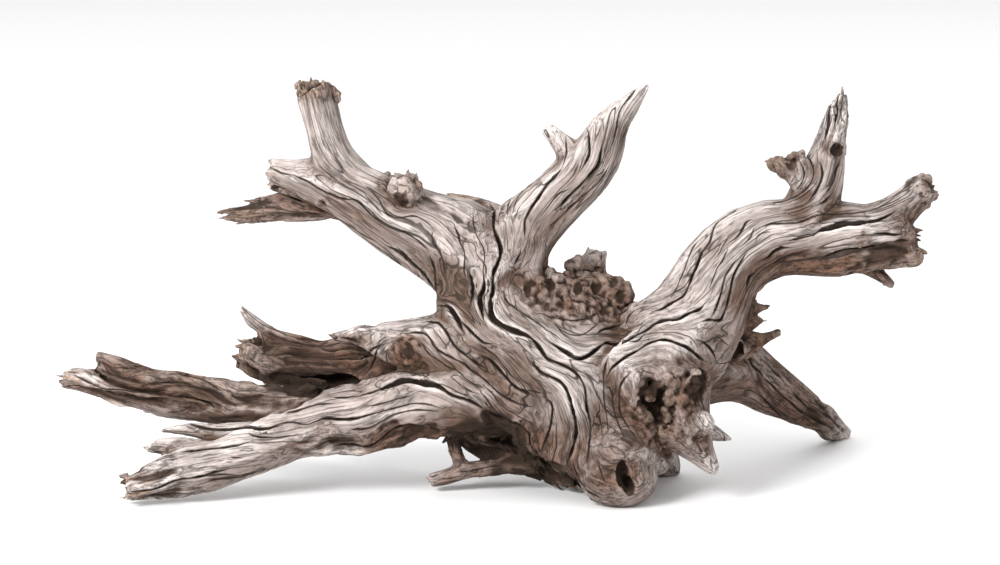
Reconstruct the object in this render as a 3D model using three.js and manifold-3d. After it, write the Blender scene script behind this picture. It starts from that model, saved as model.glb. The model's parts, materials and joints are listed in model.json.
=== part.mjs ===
// A piece of driftwood: one weathered root crown whose broken limbs, roots and splinters grew as one solid.
// Millimetres, +Z up, +X to the right, +Y to the back. The origin is the worn spot under the front knob.
import * as THREE from "three";
import { mergeVertices } from "three/addons/utils/BufferGeometryUtils.js";
import { ImprovedNoise } from "three/addons/math/ImprovedNoise.js";
import Module from "manifold-3d";

// Driving dimensions
const facetWidth = 19; // width of a facet round a limb
const fewestSides = 6;
const mostSides = 20;
const ringSpacing = 0.62; // distance between rings, as a share of the limb's mean radius
const shortestRing = 9;
const longestRing = 24;
const wobbleSize = 3.2; // how far the surface strays from a smooth limb
const wobbleLength = 55; // distance over which it strays
const floorDepth = 60; // how far below the ground the trimming block reaches
const blockWidth = 1400;
const weatheredGrey = 0xa39a93;

// Each limb is a row of stations [x, y, z, radius] from its root to its tip.
// flat squeezes it along y, ridges is the number of long ridges round it, and torn is the depth of a broken end.
const limbs = {
  // The crown, from the fork down to the front knob that it stands on
  trunk: {
    stations: [
      [-128, 62, 250, 40],
      [-126, 62, 224, 54],
      [-108, 62, 182, 68],
      [-64, 60, 138, 83],
      [-24, 50, 90, 82],
      [-4, 32, 50, 58],
      [2, 20, 32, 38],
    ],
    flat: 0.86,
    ridges: 5,
  },
  saddle: {
    stations: [
      [-55, 60, 146, 62],
      [-2, 54, 124, 57],
      [44, 54, 142, 60],
      [82, 62, 180, 49],
      [101, 68, 215, 44],
      [127, 74, 243, 41],
      [164, 72, 259, 38],
      [216, 64, 258, 37],
      [262, 56, 259, 33],
      [298, 50, 262, 23],
    ],
    ridges: 5,
    torn: 10,
  },
  shoulder: {
    stations: [
      [6, 50, 148, 60],
      [44, 34, 111, 57],
      [66, 18, 80, 33],
      [84, 8, 52, 16],
      [98, 2, 34, 7],
    ],
    ridges: 3,
  },
  rotten_underside: {
    stations: [
      [-162, 88, 80, 27],
      [-115, 86, 48, 31],
      [-69, 74, 31, 25],
      [-32, 54, 20, 16],
    ],
    ridges: 3,
    torn: 6,
  },

  // The lower left limb, which lies out flat and splits into two slabs
  lower_slab: {
    stations: [
      [-55, 55, 127, 70],
      [-115, 50, 114, 56],
      [-175, 44, 100, 41],
      [-225, 38, 88, 36],
      [-275, 32, 81, 34],
      [-315, 28, 72, 28],
      [-353, 22, 55, 25],
      [-399, 14, 38, 24],
      [-444, 6, 28, 24],
      [-486, -2, 18, 15],
    ],
    flat: 0.72,
    ridges: 4,
    torn: 12,
  },
  upper_slab: {
    stations: [
      [-286, 45, 78, 32],
      [-337, 52, 86, 27],
      [-393, 56, 93, 25],
      [-438, 56, 99, 25],
      [-483, 50, 107, 23],
      [-522, 46, 118, 17],
      [-556, 44, 119, 10],
    ],
    flat: 0.7,
    ridges: 3,
    torn: 8,
  },
  slab_knuckle: {
    stations: [
      [-470, 56, 114, 14],
      [-508, 56, 134, 10],
      [-523, 56, 142, 7],
    ],
    torn: 3,
  },
  slab_fork: {
    stations: [
      [-395, 20, 48, 14],
      [-435, 22, 55, 11],
      [-469, 20, 55, 8],
    ],
    flat: 0.8,
    torn: 6,
  },
  slab_splinter: {
    stations: [
      [-350, 26, 62, 18],
      [-395, 34, 65, 12],
      [-429, 38, 68, 8],
      [-456, 36, 68, 3],
    ],
    flat: 0.7,
  },

  // The hollow limb behind it
  ridge: {
    stations: [
      [-135, 60, 148, 50],
      [-186, 60, 148, 34],
      [-221, 62, 153, 25],
      [-251, 66, 159, 14],
      [-284, 70, 157, 6],
    ],
    ridges: 3,
    torn: 6,
  },
  hollow_limb: {
    stations: [
      [-186, 85, 114, 37],
      [-248, 95, 116, 33],
      [-299, 100, 118, 29],
      [-337, 104, 122, 29],
      [-361, 108, 127, 25],
      [-379, 112, 132, 17],
    ],
    ridges: 5,
    torn: 16,
  },
  horn: {
    stations: [
      [-312, 108, 130, 18],
      [-349, 110, 148, 12],
      [-370, 112, 166, 8],
      [-383, 114, 182, 4],
    ],
  },

  // Roots that reach the ground, and the small ones beside them
  front_root: {
    stations: [
      [-60, 66, 36, 20],
      [-90, 62, 28, 15],
      [-115, 60, 26, 11],
      [-145, 58, 23, 10],
      [-171, 56, 15, 9],
      [-186, 54, 13, 8],
    ],
    torn: 3,
  },
  front_strut: {
    stations: [
      [-164, 62, 72, 11],
      [-161, 59, 47, 8],
      [-154, 58, 26, 7],
    ],
  },
  back_root: {
    stations: [
      [60, 66, 128, 48],
      [126, 112, 116, 35],
      [186, 172, 72, 25],
      [224, 222, 42, 19],
      [250, 270, 16, 14],
      [264, 294, 2, 11],
    ],
    flat: 0.85,
    ridges: 4,
    torn: 4,
  },
  back_root_prong: {
    stations: [
      [152, 146, 94, 17],
      [180, 182, 62, 11],
      [200, 208, 42, 5],
    ],
    torn: 4,
  },
  middle_root: {
    stations: [
      [24, 84, 72, 41],
      [43, 108, 34, 27],
      [57, 124, 14, 18],
      [62, 132, 2, 13],
    ],
    ridges: 3,
  },
  side_spike: {
    stations: [
      [52, 56, 86, 24],
      [84, 60, 69, 14],
      [109, 66, 56, 7],
      [122, 70, 50, 2],
    ],
  },

  // The upper left limb, with its upright stump and the shards that split off below it
  left_limb: {
    stations: [
      [-120, 62, 218, 54],
      [-153, 64, 248, 49],
      [-191, 70, 266, 42],
      [-231, 78, 285, 36],
      [-266, 84, 304, 32],
      [-295, 90, 314, 25],
      [-323, 94, 319, 18],
      [-348, 96, 322, 14],
    ],
    ridges: 5,
    torn: 7,
  },
  left_stump: {
    stations: [
      [-262, 84, 306, 28],
      [-283, 84, 338, 23],
      [-291, 84, 364, 19],
      [-297, 84, 388, 20],
      [-301, 84, 406, 21],
    ],
    ridges: 4,
    torn: 18,
  },
  shard_middle: {
    stations: [
      [-257, 92, 289, 20],
      [-297, 96, 286, 13],
      [-333, 98, 286, 10],
      [-369, 100, 284, 7],
      [-412, 102, 279, 2],
    ],
    flat: 0.7,
  },
  shard_low: {
    stations: [
      [-270, 96, 286, 14],
      [-328, 100, 278, 9],
      [-369, 104, 273, 6],
      [-411, 106, 273, 2],
    ],
    flat: 0.7,
  },
  shard_back: {
    stations: [
      [-287, 98, 295, 10],
      [-333, 102, 298, 7],
      [-376, 106, 293, 2],
    ],
    flat: 0.7,
  },
  limb_nub: {
    stations: [
      [-215, 60, 291, 17],
      [-206, 46, 309, 10],
      [-200, 42, 320, 9],
    ],
    torn: 5,
  },

  // The middle limb, which sweeps up to a point
  middle_limb: {
    stations: [
      [-112, 60, 232, 46],
      [-93, 56, 266, 36],
      [-66, 50, 294, 30],
      [-39, 42, 323, 29],
      [-19, 34, 350, 25],
      [-6, 28, 380, 18],
      [12, 22, 402, 11],
      [29, 18, 420, 3],
    ],
    ridges: 5,
  },
  middle_stub: {
    stations: [
      [-34, 41, 336, 22],
      [-53, 40, 358, 12],
      [-68, 40, 375, 8],
    ],
    torn: 4,
  },
  back_stub: {
    stations: [
      [-106, 88, 264, 24],
      [-133, 110, 281, 12],
      [-154, 122, 287, 9],
      [-167, 130, 290, 7],
    ],
    torn: 4,
  },

  // The burl in the saddle and the stump that rises behind it
  burl: {
    stations: [
      [-70, 76, 194, 21],
      [-54, 74, 198, 27],
      [-30, 70, 198, 29],
      [-4, 74, 195, 27],
      [12, 78, 190, 18],
    ],
    ridges: 3,
  },
  burl_stump: {
    stations: [
      [-28, 90, 206, 20],
      [-20, 96, 226, 14],
      [-16, 100, 240, 12],
    ],
    torn: 9,
  },

  // The right limb's stumps and splinters
  right_stump: {
    stations: [
      [188, 68, 263, 33],
      [199, 66, 298, 28],
      [205, 64, 320, 24],
      [213, 62, 347, 19],
      [218, 60, 367, 16],
      [221, 60, 387, 12],
      [225, 60, 408, 5],
    ],
    ridges: 4,
    torn: 8,
  },
  right_stump_nub: {
    stations: [
      [200, 62, 310, 22],
      [176, 54, 328, 13],
      [158, 50, 337, 11],
    ],
    torn: 5,
  },
  right_stump_knob: {
    stations: [
      [199, 60, 322, 13],
      [182, 52, 340, 9],
    ],
    torn: 3,
  },
  right_stump_splinter: {
    stations: [
      [210, 60, 348, 12],
      [211, 58, 374, 8],
      [213, 56, 396, 3],
    ],
  },
  right_prong: {
    stations: [
      [256, 56, 268, 28],
      [280, 48, 287, 22],
      [297, 43, 304, 18],
      [308, 40, 316, 16],
    ],
    torn: 6,
  },
  right_leg: {
    stations: [
      [238, 60, 246, 19],
      [262, 60, 226, 9],
      [280, 60, 212, 5],
    ],
    torn: 3,
  },
  end_splinter_low: {
    stations: [
      [262, 56, 249, 15],
      [291, 56, 244, 3],
    ],
  },
  end_splinter_high: {
    stations: [
      [266, 52, 260, 18],
      [303, 52, 257, 4],
    ],
  },
  thorn_high: {
    stations: [
      [124, 64, 196, 14],
      [144, 74, 186, 6],
      [160, 80, 188, 3],
    ],
  },
  thorn_middle: {
    stations: [
      [126, 66, 174, 14],
      [153, 80, 171, 3],
    ],
  },
  thorn_low: {
    stations: [
      [122, 66, 148, 18],
      [153, 80, 152, 7],
      [173, 90, 158, 5],
    ],
    torn: 3,
  },
};

// Rounded swellings: the worn knob under the crown and the bright boss beside the big knot.
const swellings = [
  { centre: [3, 10, 27], radii: [40, 36, 31], turn: 0 },
  { centre: [83, -4, 86], radii: [15, 14, 13], turn: 0.3 },
  { centre: [-210, 44, 312], radii: [17, 15, 13], turn: 0.5 },
];

// Rotted knots and hollows: an ellipsoid at centre with the given radii, turned about y.
const hollows = [
  { centre: [40, -22, 104], radii: [17, 34, 35], turn: -0.35 },
  { centre: [81, -8, 115], radii: [11, 26, 14], turn: 0 },
  { centre: [8, -22, 33], radii: [6, 20, 12], turn: -0.4 },
  { centre: [-292, 66, 110], radii: [36, 24, 11], turn: 0 },
  { centre: [-60, 150, 176], radii: [26, 34, 40], turn: -0.4 },
];

const wasm = await Module();
wasm.setup();
const noise = new ImprovedNoise();

// The same number for the same seed, from 0 to 1.
function chance(seed) {
  const x = Math.sin(seed * 127.1 + 311.7) * 43758.5453;
  return x - Math.floor(x);
}

// Moves a point a little, so that limbs aren't smooth tubes.
function wobble(p) {
  const q = p.clone().divideScalar(wobbleLength);
  p.x += wobbleSize * noise.noise(q.x, q.y, q.z);
  p.y += wobbleSize * noise.noise(q.y + 31, q.z, q.x);
  p.z += wobbleSize * noise.noise(q.z, q.x + 17, q.y);
  return p;
}

// A closed tube of changing radius along a curve through the stations.
function limbGeometry({ stations, flat = 1, ridges = 0, torn = 0 }, seed) {
  const path = new THREE.CatmullRomCurve3(
    stations.map(([x, y, z]) => new THREE.Vector3(x, y, z)),
    false,
    "centripetal",
  );
  const radii = new THREE.SplineCurve(
    stations.map(([, , , r], i) => new THREE.Vector2(i, r)),
  );
  const meanRadius = stations.reduce((sum, s) => sum + s[3], 0) / stations.length;
  const spacing = THREE.MathUtils.clamp(meanRadius * ringSpacing, shortestRing, longestRing);
  const rings = Math.max(3, Math.ceil(path.getLength() / spacing));
  const sides = THREE.MathUtils.clamp(
    Math.round((2 * Math.PI * meanRadius) / facetWidth),
    fewestSides,
    mostSides,
  );
  const frames = path.computeFrenetFrames(rings, false);
  const points = [];
  for (let i = 0; i <= rings; i++) {
    const centre = path.getPointAt(i / rings);
    const radius = radii.getPoint(path.getUtoTmapping(i / rings)).y;
    for (let j = 0; j < sides; j++) {
      const angle = (2 * Math.PI * j) / sides;
      const ridge = ridges ? 1 + 0.07 * Math.cos(ridges * angle + seed + i * 0.12) : 1;
      const offset = frames.normals[i]
        .clone()
        .multiplyScalar(Math.cos(angle))
        .addScaledVector(frames.binormals[i], Math.sin(angle))
        .multiplyScalar(radius * ridge);
      offset.y *= flat;
      if (i === rings) offset.addScaledVector(frames.tangents[i], torn * (chance(seed + j) - 0.3));
      points.push(wobble(centre.clone().add(offset)));
    }
  }
  const base = points.push(path.getPointAt(0)) - 1;
  const tip = points.push(path.getPointAt(1).addScaledVector(frames.tangents[rings], -torn * 0.5)) - 1;
  const index = [];
  for (let j = 0; j < sides; j++) {
    const next = (j + 1) % sides;
    for (let i = 0; i < rings; i++) {
      const [a, b] = [i * sides + j, i * sides + next];
      index.push(a, b, b + sides, a, b + sides, a + sides);
    }
    index.push(base, next, j, tip, rings * sides + j, rings * sides + next);
  }
  return new THREE.BufferGeometry().setFromPoints(points).setIndex(index);
}

// A closed geometry as a solid that can be joined and cut.
function solid(geometry) {
  const plain = geometry.clone();
  plain.deleteAttribute("normal");
  plain.deleteAttribute("uv");
  const merged = mergeVertices(plain, 1e-3);
  return new wasm.Manifold(
    new wasm.Mesh({
      numProp: 3,
      vertProperties: new Float32Array(merged.attributes.position.array),
      triVerts: new Uint32Array(merged.index.array),
    }),
  );
}

function ellipsoid({ centre, radii, turn }) {
  const ball = new THREE.SphereGeometry(1, 16, 10);
  ball.scale(...radii).rotateY(turn).translate(...centre);
  return solid(ball);
}

function groundBlock() {
  const block = new THREE.BoxGeometry(blockWidth, blockWidth, floorDepth);
  block.translate(0, 0, -floorDepth / 2);
  return solid(block);
}

function driftwoodGeometry() {
  let wood = null;
  Object.values(limbs).forEach((limb, seed) => {
    const piece = solid(limbGeometry(limb, seed * 31));
    wood = wood ? wood.add(piece) : piece;
  });
  for (const swelling of swellings) wood = wood.add(ellipsoid(swelling));
  for (const hollow of hollows) wood = wood.subtract(ellipsoid(hollow));
  wood = wood.subtract(groundBlock());
  const { vertProperties, numProp, triVerts } = wood.getMesh();
  return new THREE.BufferGeometry()
    .setAttribute("position", new THREE.BufferAttribute(vertProperties, numProp))
    .setIndex(new THREE.BufferAttribute(triVerts, 1));
}

const weatheredWood = new THREE.MeshStandardMaterial({
  color: weatheredGrey,
  roughness: 0.88,
  metalness: 0,
});
const driftwood = new THREE.Mesh(driftwoodGeometry(), weatheredWood);
driftwood.name = "driftwood";

const group = new THREE.Group();
group.add(driftwood);
export default group;
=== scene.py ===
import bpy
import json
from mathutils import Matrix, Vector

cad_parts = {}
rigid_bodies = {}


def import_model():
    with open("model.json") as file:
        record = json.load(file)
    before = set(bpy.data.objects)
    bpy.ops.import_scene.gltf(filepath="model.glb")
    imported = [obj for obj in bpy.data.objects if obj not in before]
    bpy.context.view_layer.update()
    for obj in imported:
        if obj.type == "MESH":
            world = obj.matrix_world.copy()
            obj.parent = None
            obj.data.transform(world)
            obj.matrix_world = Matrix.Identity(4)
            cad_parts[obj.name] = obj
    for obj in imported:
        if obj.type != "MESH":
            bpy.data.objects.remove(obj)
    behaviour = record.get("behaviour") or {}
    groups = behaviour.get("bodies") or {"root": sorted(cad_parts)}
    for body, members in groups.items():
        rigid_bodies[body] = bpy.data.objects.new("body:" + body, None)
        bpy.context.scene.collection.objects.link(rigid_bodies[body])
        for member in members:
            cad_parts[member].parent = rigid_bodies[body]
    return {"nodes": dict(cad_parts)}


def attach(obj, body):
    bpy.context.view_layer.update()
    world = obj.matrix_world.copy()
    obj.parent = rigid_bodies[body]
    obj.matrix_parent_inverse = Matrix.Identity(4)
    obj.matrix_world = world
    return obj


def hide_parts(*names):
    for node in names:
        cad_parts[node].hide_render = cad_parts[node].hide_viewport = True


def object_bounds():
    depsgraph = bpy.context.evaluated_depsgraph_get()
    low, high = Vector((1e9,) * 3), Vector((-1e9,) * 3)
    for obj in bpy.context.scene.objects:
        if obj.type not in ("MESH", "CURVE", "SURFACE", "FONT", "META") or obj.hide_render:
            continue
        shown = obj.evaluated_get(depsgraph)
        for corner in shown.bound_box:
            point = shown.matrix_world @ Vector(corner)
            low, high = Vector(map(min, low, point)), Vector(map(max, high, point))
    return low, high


bl_info = {
    "name": "Driftwood",
    "version": (1, 0, 0),
    "blender": (4, 5, 0),
    "location": "View3D > Sidebar > Driftwood",
    "description": "A weathered root of driftwood, with its grain, growth cracks, knots and rotten hollows",
    "category": "Add Mesh",
}

import itertools
import json
import math

import bpy
import numpy as np
from mathutils import Vector
from mathutils.bvhtree import BVHTree
from mathutils.kdtree import KDTree

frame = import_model()
cad_low, cad_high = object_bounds()

MM = 0.001

# In millimetres, how far a crack is felt beside it, and the widest whose inside is painted dark as shade. A
# wider one is still carved, and only its depth darkens it.
CRACK_REACH = 12.0
WIDEST_PAINTED = 6.6

# The front viewing point, in metres: what it looks at, how far off it is and how steeply it looks down
VIEW_TARGET = Vector((-0.115, 0.050, 0.217))
VIEW_DISTANCE = 2.6
VIEW_PITCH = math.radians(10)

# The middle line of every limb, from its root outwards: x, y, z and radius in millimetres
LIMBS = {
    "trunk": [
        (-128, 62, 250, 40), (-126, 62, 224, 54), (-108, 62, 182, 68), (-64, 60, 138, 83),
        (-24, 50, 90, 82), (-4, 32, 50, 58), (2, 20, 32, 38),
    ],
    "saddle": [
        (-55, 60, 146, 62), (-2, 54, 124, 57), (44, 54, 142, 60), (82, 62, 180, 49),
        (101, 68, 215, 44), (127, 74, 243, 41), (164, 72, 259, 38), (216, 64, 258, 37),
        (262, 56, 259, 33), (298, 50, 262, 23),
    ],
    "shoulder": [
        (6, 50, 148, 60), (44, 34, 111, 57), (66, 18, 80, 33), (84, 8, 52, 16), (98, 2, 34, 7),
    ],
    "rotten_underside": [(-162, 88, 80, 27), (-115, 86, 48, 31), (-69, 74, 31, 25), (-32, 54, 20, 16)],
    "lower_slab": [
        (-55, 55, 127, 70), (-115, 50, 114, 56), (-175, 44, 100, 41), (-225, 38, 88, 36),
        (-275, 32, 81, 34), (-315, 28, 72, 28), (-353, 22, 55, 25), (-399, 14, 38, 24),
        (-444, 6, 28, 24), (-486, -2, 18, 15),
    ],
    "upper_slab": [
        (-286, 45, 78, 32), (-337, 52, 86, 27), (-393, 56, 93, 25), (-438, 56, 99, 25),
        (-483, 50, 107, 23), (-522, 46, 118, 17), (-556, 44, 119, 10),
    ],
    "slab_knuckle": [(-470, 56, 114, 14), (-508, 56, 134, 10), (-523, 56, 142, 7)],
    "slab_fork": [(-395, 20, 48, 14), (-435, 22, 55, 11), (-469, 20, 55, 8)],
    "slab_splinter": [(-350, 26, 62, 18), (-395, 34, 65, 12), (-429, 38, 68, 8), (-456, 36, 68, 3)],
    "ridge": [
        (-135, 60, 148, 50), (-186, 60, 148, 34), (-221, 62, 153, 25), (-251, 66, 159, 14),
        (-284, 70, 157, 6),
    ],
    "hollow_limb": [
        (-186, 85, 114, 37), (-248, 95, 116, 33), (-299, 100, 118, 29), (-337, 104, 122, 29),
        (-361, 108, 127, 25), (-379, 112, 132, 17),
    ],
    "horn": [(-312, 108, 130, 18), (-349, 110, 148, 12), (-370, 112, 166, 8), (-383, 114, 182, 4)],
    "front_root": [
        (-60, 66, 36, 20), (-90, 62, 28, 15), (-115, 60, 26, 11), (-145, 58, 23, 10),
        (-171, 56, 15, 9), (-186, 54, 13, 8),
    ],
    "front_strut": [(-164, 62, 72, 11), (-161, 59, 47, 8), (-154, 58, 26, 7)],
    "back_root": [
        (60, 66, 128, 48), (126, 112, 116, 35), (186, 172, 72, 25), (224, 222, 42, 19),
        (250, 270, 16, 14), (264, 294, 2, 11),
    ],
    "back_root_prong": [(152, 146, 94, 17), (180, 182, 62, 11), (200, 208, 42, 5)],
    "middle_root": [(24, 84, 72, 41), (43, 108, 34, 27), (57, 124, 14, 18), (62, 132, 2, 13)],
    "side_spike": [(52, 56, 86, 24), (84, 60, 69, 14), (109, 66, 56, 7), (122, 70, 50, 2)],
    "left_limb": [
        (-120, 62, 218, 54), (-153, 64, 248, 49), (-191, 70, 266, 42), (-231, 78, 285, 36),
        (-266, 84, 304, 32), (-295, 90, 314, 25), (-323, 94, 319, 18), (-348, 96, 322, 14),
    ],
    "left_stump": [
        (-262, 84, 306, 28), (-283, 84, 338, 23), (-291, 84, 364, 19), (-297, 84, 388, 20),
        (-301, 84, 406, 21),
    ],
    "shard_middle": [
        (-257, 92, 289, 20), (-297, 96, 286, 13), (-333, 98, 286, 10), (-369, 100, 284, 7),
        (-412, 102, 279, 2),
    ],
    "shard_low": [(-270, 96, 286, 14), (-328, 100, 278, 9), (-369, 104, 273, 6), (-411, 106, 273, 2)],
    "shard_back": [(-287, 98, 295, 10), (-333, 102, 298, 7), (-376, 106, 293, 2)],
    "limb_nub": [(-215, 60, 291, 17), (-206, 46, 309, 10), (-200, 42, 320, 9)],
    "middle_limb": [
        (-112, 60, 232, 46), (-93, 56, 266, 36), (-66, 50, 294, 30), (-39, 42, 323, 29),
        (-19, 34, 350, 25), (-6, 28, 380, 18), (12, 22, 402, 11), (29, 18, 420, 3),
    ],
    "middle_stub": [(-34, 41, 336, 22), (-53, 40, 358, 12), (-68, 40, 375, 8)],
    "back_stub": [(-106, 88, 264, 24), (-133, 110, 281, 12), (-154, 122, 287, 9), (-167, 130, 290, 7)],
    "burl": [
        (-70, 76, 194, 21), (-54, 74, 198, 27), (-30, 70, 198, 29), (-4, 74, 195, 27),
        (12, 78, 190, 18),
    ],
    "burl_stump": [(-28, 90, 206, 20), (-20, 96, 226, 14), (-16, 100, 240, 12)],
    "right_stump": [
        (188, 68, 263, 33), (199, 66, 298, 28), (205, 64, 320, 24), (213, 62, 347, 19),
        (218, 60, 367, 16), (221, 60, 387, 12), (225, 60, 408, 5),
    ],
    "right_stump_nub": [(200, 62, 310, 22), (176, 54, 328, 13), (158, 50, 337, 11)],
    "right_stump_knob": [(199, 60, 322, 13), (182, 52, 340, 9)],
    "right_stump_splinter": [(210, 60, 348, 12), (211, 58, 374, 8), (213, 56, 396, 3)],
    "right_prong": [(256, 56, 268, 28), (280, 48, 287, 22), (297, 43, 304, 18), (308, 40, 316, 16)],
    "right_leg": [(238, 60, 246, 19), (262, 60, 226, 9), (280, 60, 212, 5)],
    "end_splinter_low": [(262, 56, 249, 15), (291, 56, 244, 3)],
    "end_splinter_high": [(266, 52, 260, 18), (303, 52, 257, 4)],
    "thorn_high": [(124, 64, 196, 14), (144, 74, 186, 6), (160, 80, 188, 3)],
    "thorn_middle": [(126, 66, 174, 14), (153, 80, 171, 3)],
    "thorn_low": [(122, 66, 148, 18), (153, 80, 152, 7), (173, 90, 158, 5)],
}

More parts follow.
